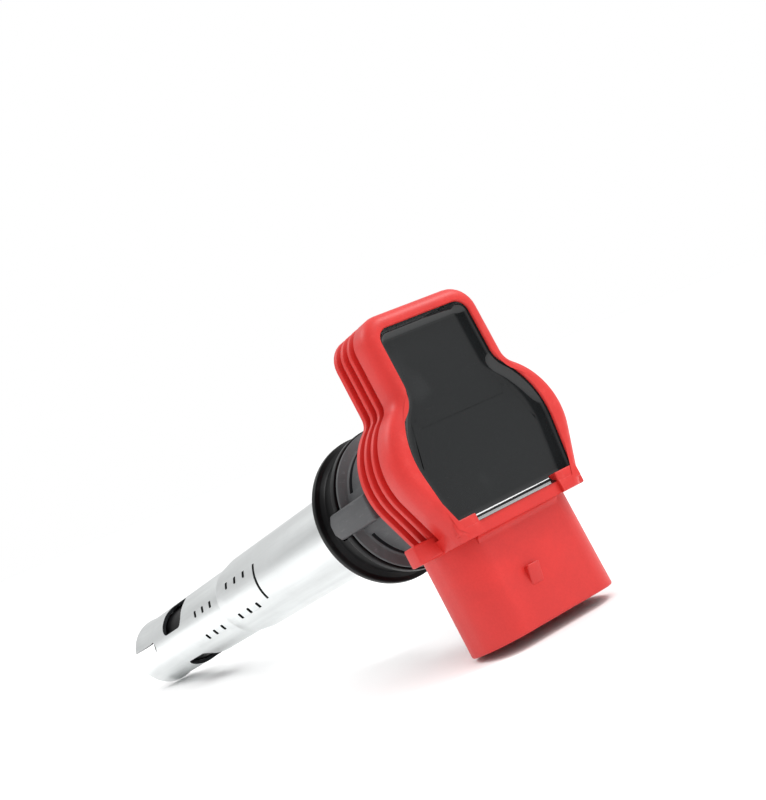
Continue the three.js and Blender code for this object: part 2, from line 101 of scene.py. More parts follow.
def linear(red, green, blue):
    """A colour given in display values from 0 to 255, as scene-linear values."""
    return tuple((c / 255 / 12.92) if c <= 10 else ((c / 255 + 0.055) / 1.055) ** 2.4
                 for c in (red, green, blue))


def paint(name, display, description):
    return FloatVectorProperty(name=name, default=linear(*display), description=description,
                               subtype="COLOR", size=3, min=0, max=1)


# ------------------------------------------------------------------ sizes and colours

class CoilHeadSizes(PropertyGroup):
    rim_round: length("Rim rounding", 2.4, "Radius of the rim's outer edge")
    rim_height: length("Rim height", 5, "Plain wall between the rim and the first groove")
    rib_count: IntProperty(name="Ribs", default=3, min=1, max=6, description="Ribs under the rim")
    rib_height: length("Rib height", 1, "Height of one rib")
    groove_depth: length("Groove depth", 1.3, "How far the grooves go into the wall")
    groove_end: length("Groove end", 11.6, "Where the grooves stop, along X")
    edge: length("Edge rounding", 0.22, "Rounding of the ribs' edges")
    floor: length("Floor", 2, "Thickness of the pot's floor")
    lip: length("Inner lip", 0.4, "Rounding of the rim's inner edge")
    floor_hole: length("Floor hole", 9.8, "Radius of the hole over the neck")
    skirt: length("Skirt height", 29.4, "Height of the pot's lower edge")


class CoilConnectorSizes(PropertyGroup):
    width: length("Width", 30.4, "Width of the connector shroud")
    height: length("Height", 15, "Height of the connector shroud")
    top: length("Top", 39, "Height of the shroud's top face")
    corner: length("Corner", 6.5, "Radius of the shroud's corners")
    wall: length("Wall", 1.8, "Thickness of the shroud's wall")
    depth: length("Socket depth", 15.6, "Depth of the socket")
    lip: length("Lip rounding", 0.45, "Rounding of the mouth")
    ear: length("Ear length", 3.5, "Length and height of the ears beside the end wall")
    ear_inner: length("Ear root", 14.4, "Where the ears leave the pot's side")
    post_inner: length("Post inner side", 9.6, "Inner side of the corner posts")
    post_outer: length("Post outer side", 14.9, "Outer side of the corner posts")
    post_start: length("Post start", 10.3, "Where the corner posts start, along X")
    post_end: length("Post end", 12.8, "Where the corner posts end, along X")
    dip: length("Dip", 0.7, "How much lower the end wall is between the posts")
    ear_top: length("Ear top", 35.9, "Height of the ears' top face")
    end_face: length("End face", 14, "Outer face of the pot's end wall, along X")
    fillet: length("Fillet", 1.3, "Hollow corner between the end wall and the shroud")
    nib_x: length("Nib place along X", 22.4, "Where the latch nib starts")
    nib_y: length("Nib place along Y", -2.4, "Middle of the latch nib")
    nib_width: length("Nib width", 2.8, "Width of the latch nib")
    nib_length: length("Nib length", 3.6, "Length of the latch nib")
    nib_height: length("Nib height", 1.3, "Height of the latch nib")
    pitch: length("Terminal pitch", 5.2, "Distance between terminals")
    blade_drop: length("Terminal drop", 5.9, "How far under the shroud's top the blades lie")


class CoilResinSizes(PropertyGroup):
    climb: length("Climb", 1.75, "How far the resin climbs the pot's wall")
    reach: length("Reach", 2.6, "How far from the wall the climb starts")
    skin: length("Skin", 2.4, "Resin over the driver")


class CoilNeckSizes(PropertyGroup):
    radius: length("Neck radius", 12.6, "Radius of the neck")
    shoulder: length("Shoulder radius", 14.4, "Radius of the neck's lower shoulder")
    bore: length("Bore", 9.5, "Radius of the bore over the tube")
    lug_width: length("Lug width", 5.2, "Width of each lug")
    lug_radius: length("Lug radius", 14.8, "How far out the lugs stand")
    lug_top: length("Lug top", 20.6, "Height of the lugs' upper end")
    base: length("Base", 9.8, "Height of the neck's lower face")
    top: length("Neck top", 29.1, "Height where the neck meets the head")
    slot_low: length("Slot low", 11.95, "Lower side of the curved slots")
    slot_high: length("Slot high", 13.25, "Upper side of the curved slots")
    slot_depth: length("Slot depth", 1.2, "Depth of the curved slots")
    seal_lip: length("Seal lip", 15.2, "Radius of the seal's lip")
    seal_waist: length("Seal waist", 13.6, "Radius of the seal's waist")
    seal_collar: length("Seal collar", 14.7, "Radius of the seal's upper collar")


class CoilShaftSizes(PropertyGroup):
    tube_radius: length("Tube radius", 9.2, "Radius of the upper tube")
    tube_wall: length("Tube wall", 0.6, "Wall of the upper tube")
    sleeve_radius: length("Sleeve radius", 8.5, "Radius of the lower sleeve")
    sleeve_wall: length("Sleeve wall", 0.5, "Wall of the lower sleeve")
    tip_radius: length("Tip radius", 8.9, "Radius of the sleeve's flared tip")
    slit_width: length("Slit width", 1.6, "Width of a slit")
    slit_height: length("Slit height", 1.35, "Height of a slit")
    arc_low: length("Arc low", -45.75, "Lower side of the tube's curved cuts")
    arc_high: length("Arc high", -44.65, "Upper side of the tube's curved cuts")
    port_low: length("Port low", -109.4, "Lower side of the ports")
    port_high: length("Port high", -95.5, "Upper side of the ports")
    notch_width: length("Notch width", 2.7, "Width of the tip's notches")
    notch_depth: length("Notch depth", 12.9, "How far up the tip the eyes' centres lie")
    notch_eye: length("Notch eye", 1.5, "Radius of the notches' round ends")


class CoilColours(PropertyGroup):
    red: paint("Red plastic", (202, 40, 35), "Head and connector")
    groove_red: paint("Deep red", (150, 6, 8), "Red where it is darkest")
    resin: paint("Resin", (24, 26, 27), "Potting resin")
    grey: paint("Neck grey", (66, 67, 69), "Neck")
    rubber: paint("Rubber", (5, 5, 6), "Seal and boot")
    metal: paint("Plated metal", (234, 237, 237), "Tube and sleeve")
    steel: paint("Steel", (150, 154, 160), "Core and spring")
    copper: paint("Copper", (190, 104, 62), "Windings and spreader")
    tin: paint("Tin", (208, 204, 192), "Terminals and contact")
    ceramic: paint("Ceramic", (226, 221, 208), "Board and resistor")
    # The black plastic tint also colours the painted shade on cut faces and inner walls.
    plastic: paint("Black plastic", (34, 36, 38), "Bobbins and case end")
    magnet: paint("Magnet", (92, 94, 99), "Bias magnets")


# ------------------------------------------------------------------ modelling

def nothing_selected():
    if bpy.context.object and bpy.context.object.mode != "OBJECT":
        close_up()
    bpy.ops.object.select_all(action="DESELECT")


def only(piece):
    nothing_selected()
    piece.select_set(True)
    bpy.context.view_layer.objects.active = piece


def open_all(piece):
    """Opens a piece for editing, with all of it selected."""
    only(piece)
    bpy.ops.object.mode_set(mode="EDIT")
    bpy.ops.mesh.select_all(action="SELECT")


def close_up():
    bpy.ops.object.mode_set(mode="OBJECT")


def blank(name):
    """A new piece with nothing in its mesh, left in edit mode."""
    nothing_selected()
    bpy.ops.mesh.primitive_plane_add(size=MM)
    piece = bpy.context.object
    piece.name = piece.data.name = name
    open_all(piece)
    bpy.ops.mesh.select_mode(type="VERT")
    bpy.ops.mesh.delete(type="VERT")
    return piece


def open_mesh():
    return bmesh.from_edit_mesh(bpy.context.object.data)


def pick(test):
    """Selects the vertices of the open mesh whose place passes the test."""
    bpy.ops.mesh.select_mode(type="VERT")
    bpy.ops.mesh.select_all(action="DESELECT")
    mesh = open_mesh()
    for v in mesh.verts:
        v.select_set(bool(test(v.co)))
    mesh.select_flush_mode()
    bmesh.update_edit_mesh(bpy.context.object.data)


def pick_edges(test):
    """Selects the edges of the open mesh whose two ends pass the test."""
    bpy.ops.mesh.select_mode(type="EDGE")
    bpy.ops.mesh.select_all(action="DESELECT")
    mesh = open_mesh()
    for e in mesh.edges:
        if test(e.verts[0].co, e.verts[1].co):
            e.select_set(True)
    bmesh.update_edit_mesh(bpy.context.object.data)


def near(point):
    return lambda co: (co - point).length < 2 * MERGE


class Pen:
    """Draws a wire in the open mesh, one stroke after another, from a single vertex."""

    def __init__(self, start):
        bpy.ops.mesh.select_all(action="DESELECT")
        bpy.ops.mesh.primitive_plane_add(size=0.1 * MM, location=start)
        bpy.ops.mesh.merge(type="CENTER")
        self.start = self.at = Vector(start)

    def line(self, point):
        step = Vector(point) - self.at
        if step.length > MERGE / 10:
            bpy.ops.mesh.extrude_region_move(TRANSFORM_OT_translate={"value": tuple(step)})
            self.at = Vector(point)

    def arc(self, centre, turn, steps, axis="Z"):
        """Turns about a centre, anticlockwise for a positive angle."""
        way = {"X": (1, 0, 0), "Y": (0, 1, 0), "Z": (0, 0, 1)}[axis]
        bpy.ops.mesh.spin(steps=steps, angle=-turn, center=centre, axis=way)
        middle = Vector(centre)
        self.at = middle + Matrix.Rotation(turn, 3, axis) @ (self.at - middle)

    def close(self):
        self.line(self.start)
        bpy.ops.mesh.select_linked()
        bpy.ops.mesh.remove_doubles(threshold=MERGE)


def traced(points):
    """A pen that has drawn straight lines from each point to the next."""
    pen = Pen(points[0])
    for point in points[1:]:
        pen.line(point)
    return pen


class Stack:
    """Closed wires drawn one after another, each bridged to the one before."""

    def __init__(self, name):
        self.piece = blank(name)
        self.tag = "ring"
        open_mesh().verts.layers.int.new(self.tag)
        self.rings = 0

    def _mark(self):
        mesh = open_mesh()
        layer = mesh.verts.layers.int[self.tag]
        self.rings += 1
        for v in mesh.verts:
            if v.select:
                v[layer] = self.rings
        bmesh.update_edit_mesh(self.piece.data)

    def _choose(self, *rings):
        bpy.ops.mesh.select_mode(type="VERT")
        bpy.ops.mesh.select_all(action="DESELECT")
        mesh = open_mesh()
        layer = mesh.verts.layers.int[self.tag]
        for v in mesh.verts:
            v.select_set(v[layer] in rings)
        mesh.select_flush_mode()
        bmesh.update_edit_mesh(self.piece.data)

    def ring(self, draw):
        """Adds the wire that draw makes, and bridges it to the last one."""
        draw()
        self._mark()
        if self.rings > 1:
            self._choose(self.rings - 1, self.rings)
            bpy.ops.mesh.bridge_edge_loops()

    def closed(self):
        """Fills the first and last rings, and returns the finished piece."""
        for ring in (1, self.rings):
            self._choose(ring)
            bpy.ops.mesh.edge_face_add()
        faces_out()
        close_up()
        self.piece.data.attributes.remove(self.piece.data.attributes[self.tag])
        return self.piece


def faces_out():
    bpy.ops.mesh.select_all(action="SELECT")
    bpy.ops.mesh.remove_doubles(threshold=MERGE)
    bpy.ops.mesh.normals_make_consistent(inside=False)


def turned(name, corners, steps=96, closed=True):
    """A piece turned about the plug axis from corners of (radius, height, rounding)."""
    piece = blank(name)
    points = [Vector((r, 0, z)) for r, z, _ in corners]
    pen = traced(points)
    if closed:
        pen.close()
    else:
        bpy.ops.mesh.select_linked()
    count = len(points)
    for i, (_, _, rounding) in enumerate(corners):
        if not rounding:
            continue
        before = (points[i - 1] - points[i]).normalized()
        after = (points[(i + 1) % count] - points[i]).normalized()
        pick(near(points[i]))
        bpy.ops.mesh.bevel(offset=rounding / math.tan(before.angle(after) / 2),
                           segments=4, affect="VERTICES", clamp_overlap=True)
    bpy.ops.mesh.select_all(action="SELECT")
    bpy.ops.mesh.spin(steps=steps, angle=2 * math.pi, center=(0, 0, 0), axis=(0, 0, 1))
    faces_out()
    close_up()
    return piece


def box(name, low, high, round_edges=0, segments=3, test=None):
    """A block between two corners, with its edges, or those that pass a test, rounded."""
    low, high = Vector(low), Vector(high)
    nothing_selected()
    bpy.ops.mesh.primitive_cube_add(size=1, location=(low + high) / 2, scale=high - low)
    bpy.ops.object.transform_apply(location=True, rotation=True, scale=True)
    piece = bpy.context.object
    piece.name = piece.data.name = name
    if round_edges:
        bpy.ops.object.mode_set(mode="EDIT")
        pick_edges(test or (lambda a, b: True))
        bpy.ops.mesh.bevel(offset=round_edges, segments=segments, affect="EDGES")
        close_up()
    return piece


def radial_bar(angle, radius, reach, width, low, high, rounding):
    """A bar along the radius, to cut a window in a wall, with rounded corners."""
    bar = box("window_tool", (radius - reach, -width / 2, low), (radius + reach, width / 2, high),
              rounding, 4, lambda a, b: abs(a.x - b.x) > reach)
    aim(bar, angle)
    return bar


def aim(piece, degrees):
    """Turns a piece about the plug axis, anticlockwise seen from above."""
    open_all(piece)
    bpy.ops.transform.rotate(value=-math.radians(degrees), orient_axis="Z",
                             orient_type="GLOBAL", center_override=(0, 0, 0))
    close_up()


def repeat_down(piece, steps):
    """Copies what a piece holds to each of the given distances along Z."""
    open_all(piece)
    moved = 0
    for step in steps:
        bpy.ops.mesh.duplicate_move(TRANSFORM_OT_translate={"value": (0, 0, step - moved)})
        moved = step
    close_up()


def repeat_round(piece, copies=3):
    """Copies what a piece holds round the plug axis."""
    open_all(piece)
    bpy.ops.mesh.spin(steps=copies - 1, dupli=True, use_auto_merge=False,
                      angle=2 * math.pi * (copies - 1) / copies,
                      center=(0, 0, 0), axis=(0, 0, 1))
    close_up()


def merged(*pieces):
    """Several pieces as the first one's mesh."""
    nothing_selected()
    for piece in pieces:
        piece.select_set(True)
    bpy.context.view_layer.objects.active = pieces[0]
    bpy.ops.object.join()
    return bpy.context.object


def carve(piece, tool, operation="DIFFERENCE"):
    """Cuts a tool out of a piece, or adds it, and removes the tool."""
    only(piece)
    bpy.ops.object.modifier_add(type="BOOLEAN")
    step = piece.modifiers[-1]
    step.operation, step.solver, step.object = operation, "MANIFOLD", tool
    bpy.ops.object.modifier_apply(modifier=step.name)
    bpy.data.objects.remove(tool)
    if not piece.data.polygons:
        raise RuntimeError(f"nothing is left of {piece.name}")


def softened(piece, width, segments=2):
    """Rounds the sharp edges a little, so that they catch the light."""
    only(piece)
    bpy.ops.object.modifier_add(type="BEVEL")
    step = piece.modifiers[-1]
    step.width, step.segments, step.limit_method = width, segments, "ANGLE"
    step.angle_limit = math.radians(35)
    bpy.ops.object.modifier_apply(modifier=step.name)


def finished(piece, node, body, finish, smooth=32):
    """Gives a piece its shading, its body and its finish."""
    only(piece)
    bpy.ops.object.shade_smooth_by_angle(angle=math.radians(smooth))
    piece.data.materials.clear()
    piece.data.materials.append(bpy.data.materials[finish])
    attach(piece, body)
    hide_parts(node)
    nothing_selected()


# ------------------------------------------------------------------ materials

class Wire:
    """A value inside a node tree. Sums and products of values add Math nodes."""

    def __init__(self, nodes, socket):
        self.nodes, self.socket = nodes, socket

    def _math(self, operation, a, b):
        node = self.nodes.add("ShaderNodeMath", {"operation": operation}, {0: a, 1: b})
        return Wire(self.nodes, node.outputs[0])

    def __add__(self, other):
        return self._math("ADD", self, other)

    def __sub__(self, other):
        return self._math("SUBTRACT", self, other)

    def __rsub__(self, other):
        return self._math("SUBTRACT", other, self)

    def __mul__(self, other):
        return self._math("MULTIPLY", self, other)

    __radd__, __rmul__ = __add__, __mul__


class Nodes:
    """Adds nodes to one tree."""

    def __init__(self, tree):
        self.tree = tree

    def add(self, kind, settings=None, inputs=None):
        """Adds a node with its settings, then the values or links of its sockets."""
        node = self.tree.nodes.new(kind)
        for key, value in (settings or {}).items():
            setattr(node, key, value)
        for key, value in (inputs or {}).items():
            if isinstance(value, Wire):
                value = value.socket
            if isinstance(value, bpy.types.NodeSocket):
                self.tree.links.new(value, node.inputs[key])
            else:
                node.inputs[key].default_value = value
        return node

    def map(self, value, low, high, to_low=0.0, to_high=1.0):
        node = self.add("ShaderNodeMapRange", {"clamp": True, "interpolation_type": "SMOOTHSTEP"},
                        {"Value": value, "From Min": low, "From Max": high,
                         "To Min": to_low, "To Max": to_high})
        return Wire(self, node.outputs["Result"])

    def along(self, vector, direction):
        """How far a vector points along a direction."""
        node = self.add("ShaderNodeVectorMath", {"operation": "DOT_PRODUCT"},
                        {0: vector, 1: direction})
        return Wire(self, node.outputs["Value"])


class Finish(Nodes):
    """A material built round one Principled shader."""

    def __init__(self, name, colour, **values):
        self.material = bpy.data.materials.new(name)
        self.material.use_nodes = True
        super().__init__(self.material.node_tree)
        self.shader = self.tree.nodes["Principled BSDF"]
        self.shader.inputs["Base Color"].default_value = (*colour, 1)
        for key, value in values.items():
            self.shader.inputs[key.replace("_", " ").title().replace("Ior", "IOR")
                               ].default_value = value
        self.place = self.add("ShaderNodeTexCoord").outputs["Object"]

    def stretched(self, scale):
        node = self.add("ShaderNodeMapping", {"vector_type": "TEXTURE"},
                        {"Vector": self.place, "Scale": scale})
        return node.outputs["Vector"]

    def noise(self, scale, detail=3, roughness=0.5, stretch=None, distortion=0):
        vector = self.stretched(stretch) if stretch else self.place
        node = self.add("ShaderNodeTexNoise", None,
                        {"Vector": vector, "Scale": scale, "Detail": detail,
                         "Roughness": roughness, "Distortion": distortion})
        return Wire(self, node.outputs["Fac"])

    def cells(self, scale):
        node = self.add("ShaderNodeTexVoronoi", None, {"Vector": self.place, "Scale": scale})
        return Wire(self, node.outputs["Distance"])

    def bands(self, scale, direction, distortion=0):
        node = self.add("ShaderNodeTexWave", {"bands_direction": direction},
                        {"Vector": self.place, "Scale": scale, "Distortion": distortion,
                         "Detail": 2.0})
        return Wire(self, node.outputs["Fac"])

    def height(self):
        """How far along Z a point lies, in metres."""
        node = self.add("ShaderNodeSeparateXYZ", None, {0: self.place})
        return Wire(self, node.outputs["Z"])

    def blend(self, amount, first, second):
        node = self.add("ShaderNodeMix", {"data_type": "RGBA"}, {0: amount})
        for key, colour in ((6, first), (7, second)):
            if isinstance(colour, Wire):
                self.tree.links.new(colour.socket, node.inputs[key])
            else:
                node.inputs[key].default_value = (*colour, 1)
        return Wire(self, node.outputs[2])

    def colour(self, value):
        self.tree.links.new(value.socket, self.shader.inputs["Base Color"])

    def rough(self, value):
        self.tree.links.new(value.socket, self.shader.inputs["Roughness"])

    def bump(self, height, distance, strength=1.0):
        node = self.add("ShaderNodeBump", None,
                        {"Strength": strength, "Distance": distance, "Height": height})
        self.tree.links.new(node.outputs["Normal"], self.shader.inputs["Normal"])


def shade(colour, factor):
    return tuple(min(1.0, c * factor) for c in colour)


def red_plastic(tints):
    """Satin glass-filled plastic: fine grain, faint flow marks, and a painted highlight in pale
    pink patches on the rim's top face.
    """
    f = Finish("red_plastic", tints.red, roughness=0.42, specular_ior_level=0.5)
    flow = f.noise(90, 3, 0.6, (1, 1, 2.5), 0.6)
    grain = f.noise(2600, 4, 0.65)
    speck = f.cells(900)
    # Painted highlight: noisy patches on the top 0.9 mm of the head, the rim's top face, are
    # blended towards pale pink.
    top = f.map(f.height(), HEAD_HIGH.z - 0.9 * MM, HEAD_HIGH.z - 0.05 * MM)
    rim_top_highlight = f.map(f.noise(420, 4, 0.7), 0.5, 0.8) * top * 0.12
    body = f.blend(f.map(flow, 0.3, 0.7), shade(tints.red, 0.94), shade(tints.red, 1.05))
    body = f.blend(f.map(grain, 0.3, 0.7, 0.0, 0.12), body, tints.groove_red)
    body = f.blend(rim_top_highlight, body, linear(240, 120, 112))
    f.colour(body)
    f.rough(0.36 + 0.12 * grain + 0.08 * flow)
    f.bump(grain * 0.7 + speck * 0.3, 0.03 * MM, 0.5)


def resin(tints):
    """Glossy black potting resin with a slow ripple, faint dust and a few pin bubbles."""
    f = Finish("potting_resin", tints.resin, roughness=0.05, specular_ior_level=0.5)
    ripple = f.noise(55, 2, 0.4)
    slow = f.noise(160, 2, 0.5)
    dust = f.map(f.noise(5200, 2, 0.6), 0.66, 0.74)
    bubble = f.map(f.cells(620), 0.0, 0.11, 1.0, 0.0)
    patch = f.map(f.noise(70, 2, 0.5), 0.58, 0.72)
    f.colour(f.blend(dust * 0.10 + patch * 0.04, tints.resin, linear(120, 122, 124)))
    f.rough(0.035 + 0.05 * slow + 0.12 * dust)
    f.bump(ripple * 1.0 + slow * 0.22 - bubble * patch * 0.12, 0.35 * MM, 0.35)


def grey_plastic(tints):
    """Matt glass-filled grey plastic with a fine sparkle of fibre."""
    f = Finish("grey_plastic", tints.grey, roughness=0.5, specular_ior_level=0.5)
    grain = f.noise(3000, 4, 0.7)
    flow = f.noise(160, 3, 0.6, (1, 1, 3), 0.4)
    fibre = f.map(f.noise(1400, 3, 0.6, (1, 1, 6)), 0.6, 0.72)
    body = f.blend(f.map(flow, 0.3, 0.7), shade(tints.grey, 0.86), shade(tints.grey, 1.12))
    f.colour(f.blend(fibre * 0.10, body, linear(150, 150, 152)))
    f.rough(0.42 + 0.2 * grain)
    f.bump(grain, 0.035 * MM, 0.6)


def rubber(tints, name="black_rubber", gloss=0.14):
    """Oiled black rubber: smooth and dark, with a soft bloom."""
    f = Finish(name, tints.rubber, roughness=0.3, specular_ior_level=gloss)
    bloom = f.noise(260, 4, 0.6)
    grain = f.noise(2400, 3, 0.6)
    f.colour(f.blend(f.map(bloom, 0.5, 0.8) * 0.12, tints.rubber, linear(64, 64, 66)))
    f.rough(0.2 + 0.18 * bloom + 0.1 * grain)
    f.bump(grain * 0.5 + bloom * 0.5, 0.03 * MM, 0.4)


def plated_metal(tints):
    """Bright tin-plated steel, drawn lengthwise, with faint spangle and handling marks."""
    f = Finish("bright_metal", tints.metal, metallic=0.92, roughness=0.3)
    drawn = f.noise(900, 4, 0.6, (1, 1, 30))
    streak = f.noise(240, 3, 0.6, (1, 1, 14))
    cloud = f.noise(120, 4, 0.6)
    mark = f.map(f.noise(1500, 3, 0.6, (1, 1, 0.25)), 0.66, 0.76)
    tone = f.blend(f.map(streak, 0.3, 0.7), shade(tints.metal, 0.86), tints.metal)
    tone = f.blend(f.map(cloud, 0.45, 0.8) * 0.25, tone, shade(tints.metal, 0.72))
    f.colour(f.blend(mark * 0.25, tone, shade(tints.metal, 0.6)))
    f.rough(0.2 + 0.16 * drawn + 0.1 * cloud + 0.12 * mark)
    f.bump(drawn * 0.7 + streak * 0.3, 0.02 * MM, 0.45)


def dark_metal(name, colour, layers=False):
    """Mill-finish steel, in thin stacked sheets where it is a core."""
    f = Finish(name, colour, metallic=1.0, roughness=0.38)
    scuff = f.noise(700, 4, 0.6, (1, 1, 8))
    cloud = f.noise(180, 4, 0.6)
    tone = f.blend(f.map(cloud, 0.35, 0.7), shade(colour, 0.75), shade(colour, 1.1))
    f.colour(tone)
    f.rough(0.28 + 0.22 * scuff + 0.08 * cloud)
    f.bump((f.bands(900, "Y") * 0.6 + scuff * 0.4) if layers else scuff, 0.04 * MM, 0.5)


def copper_wire(tints):
    """Enamelled copper, wound turn beside turn, with painted shade darkening the creases between
    turns.
    """
    f = Finish("copper", tints.copper, metallic=0.95, roughness=0.3)
    turn = f.bands(1250, "Z", 0.15)
    tone = f.noise(300, 3, 0.6)
    # Painted shade: the trough of each band, the crease between two turns, darkens to 0.35 of the
    # copper.
    wound = f.blend(f.map(turn, 0.0, 0.5), shade(tints.copper, 0.35), tints.copper)
    f.colour(f.blend(f.map(tone, 0.4, 0.7) * 0.3, wound, linear(150, 66, 34)))
    f.rough(0.24 + 0.2 * tone)
    f.bump(turn, 0.12 * MM, 0.7)


def tin(tints):
    """Tinned brass with fine drawn lines and a slightly clouded plate."""
    f = Finish("tin", tints.tin, metallic=1.0, roughness=0.28)
    drawn = f.noise(900, 4, 0.6, (12, 1, 1))
    cloud = f.noise(500, 4, 0.6)
    f.colour(f.blend(f.map(cloud, 0.35, 0.75), tints.tin, shade(tints.tin, 0.78)))
    f.rough(0.2 + 0.2 * drawn + 0.08 * cloud)
    f.bump(drawn, 0.02 * MM, 0.5)


def ceramic(tints):
    """Fired ceramic: chalky, with a fine speckle."""
    f = Finish("ceramic", tints.ceramic, roughness=0.6)
    grain = f.noise(3200, 4, 0.7)
    speck = f.map(f.noise(1800, 2, 0.5), 0.66, 0.74)
    f.colour(f.blend(speck * 0.35, tints.ceramic, shade(tints.ceramic, 0.6)))
    f.rough(0.5 + 0.25 * grain)
    f.bump(grain, 0.03 * MM, 0.6)


def black_plastic(tints, name="black_plastic", gloss=0.4):
    """Moulded black plastic with a spark-eroded grain."""
    f = Finish(name, tints.plastic, roughness=0.5, specular_ior_level=gloss)
    grain = f.noise(2800, 4, 0.7)
    flow = f.noise(220, 3, 0.6)
    f.colour(f.blend(f.map(flow, 0.3, 0.7), shade(tints.plastic, 0.8), shade(tints.plastic, 1.3)))
    f.rough(0.42 + 0.2 * grain)
    f.bump(grain, 0.04 * MM, 0.6)


class COIL_OT_finishes(Operator):
    """Makes the finishes, and gives the inner parts theirs"""
    bl_idname = "coil.finishes"
    bl_label = "Finishes"

    def execute(self, context):
        tints = context.scene.coil_colours
        for old in list(bpy.data.materials):
            old.name = "frame_" + old.name
        for make in (red_plastic, resin, grey_plastic, rubber, plated_metal, copper_wire, tin,
                     ceramic, black_plastic):
            make(tints)
        rubber(tints, "boot_rubber", 0.06)
        # Near-black material, painted on the cut faces and inner walls of slotted parts as painted
        # shade.
        black_plastic(tints, "cut_edge", 0.15)
        dark_metal("steel", tints.steel)
        dark_metal("core_steel", tints.steel, layers=True)
        dark_metal("magnet", tints.magnet)
        dress = {
            "copper": ("heat_spreader", "primary_winding", "secondary_winding"),
            "ceramic": ("driver_board", "suppression_resistor"),
            "black_plastic": ("driver_chip", "primary_bobbin", "secondary_bobbin", "case_end"),
            "core_steel": ("outer_core", "central_core"),
            "magnet": ("magnet_top", "magnet_bottom"),
            "black_rubber": ("core_pad_top", "core_pad_bottom"),
            "tin": ("hv_terminal", "resistor_cap"),
        }
        for look, nodes in dress.items():
            for node in nodes:
                for slot in frame["nodes"][node].material_slots:
                    slot.material = bpy.data.materials[look]
        return {"FINISHED"}


# ------------------------------------------------------------------ head

class Keyhole:
    """The head's outline: narrow nose, hollow blend, round shoulder and flat end."""

    def __init__(self, **sizes):
        self.sizes = {key: value * MM for key, value in sizes.items()}

    def arcs(self, inset=0.0):
        """Half of the outline, from the end to the nose: (centre, radius, from, turn, steps)."""
        s = self.sizes
        nose_x, nose_half = s["nose_x"] + inset, s["nose_half"] - inset
        corner = max(s["nose_corner"] - inset, 0.4 * MM)
        shoulder = s["shoulder_radius"] - inset
        shoulder_y = s["half"] - s["shoulder_radius"]
        blend = s["blend"] + inset
        end_x, end_half = s["end_x"] - inset, s["end_half"] - inset
        end = max(s["end_corner"] - inset, 0.4 * MM)
        dx = s["shoulder_x"] - (end_x - end)
        dy = shoulder_y - (end_half - end)
        lean = math.atan2(dy, dx) - math.acos((end - shoulder) / math.hypot(dx, dy))
        lean %= 2 * math.pi
        by = nose_half + blend
        bx = s["shoulder_x"] - math.sqrt((shoulder + blend) ** 2 - (by - shoulder_y) ** 2)
        meet = math.atan2(by - shoulder_y, bx - s["shoulder_x"])
        quarter = math.pi / 2
        return [
            ((end_x - end, end_half - end), end, 0.0, lean, 5),
            ((s["shoulder_x"], shoulder_y), shoulder, lean, meet - lean, 22),
            ((bx, by), blend, meet - math.pi, -quarter - (meet - math.pi), 9),
            ((nose_x + corner, nose_half - corner), corner, quarter, quarter, 8),
        ]

    def draw(self, z, inset=0.0, stop=None, groove=0.0):
        """Draws the outline at a height. Up to the line x = stop, the wall goes in by groove."""
        full, deep = self.arcs(inset), self.arcs(inset + groove)
        run = full[:1] + (deep if stop is not None else full)[1:]
        place = lambda arc, angle, side=1: (arc[0][0] + arc[1] * math.cos(angle),
                                            side * (arc[0][1] + arc[1] * math.sin(angle)), z)

        def step_in(side):
            """The two points where the wall steps in to the groove."""
            pair = []
            for arcs, at in ((full, stop), (deep, stop - (0 if groove else 0.15 * MM))):
                a = place(arcs[0], arcs[0][3], side)
                b = place(arcs[1], arcs[1][2], side)
                t = (at - a[0]) / (b[0] - a[0])
                pair.append((at, a[1] + t * (b[1] - a[1]), z))
            return pair

        pen = Pen(place(run[0], 0.0))
        for i, arc in enumerate(run):
            centre, _, start, turn, steps = arc
            pen.line(place(arc, start))
            pen.arc((*centre, z), turn, steps)
            if i == 0 and stop is not None:
                for point in step_in(1):
                    pen.line(point)
        for i, arc in reversed(list(enumerate(run))):
            centre, _, start, turn, steps = arc
            if i == 0 and stop is not None:
                for point in reversed(step_in(-1)):
                    pen.line(point)
            pen.line(place(arc, start + turn, -1))
            pen.arc((centre[0], -centre[1], z), turn, steps)
        pen.close()


OUTER = Keyhole(nose_x=HEAD_LOW.x / MM, nose_half=13.1, nose_corner=5, half=19.7,
                shoulder_radius=13, shoulder_x=-1, blend=3, end_x=15.9, end_half=14.85,
                end_corner=2.6)
INNER = Keyhole(nose_x=-25.4, nose_half=10.25, nose_corner=2.5, half=15.65,
                shoulder_radius=15.65, shoulder_x=-1.2, blend=4, end_x=11.8, end_half=14,
                end_corner=0.6)


def quarter_turn(radius, steps):
    """The (sideways, upward) steps of a quarter round."""
    angles = [math.pi / 2 * i / steps for i in range(steps + 1)]
    return [(radius * (1 - math.cos(a)), radius * math.sin(a)) for a in angles]


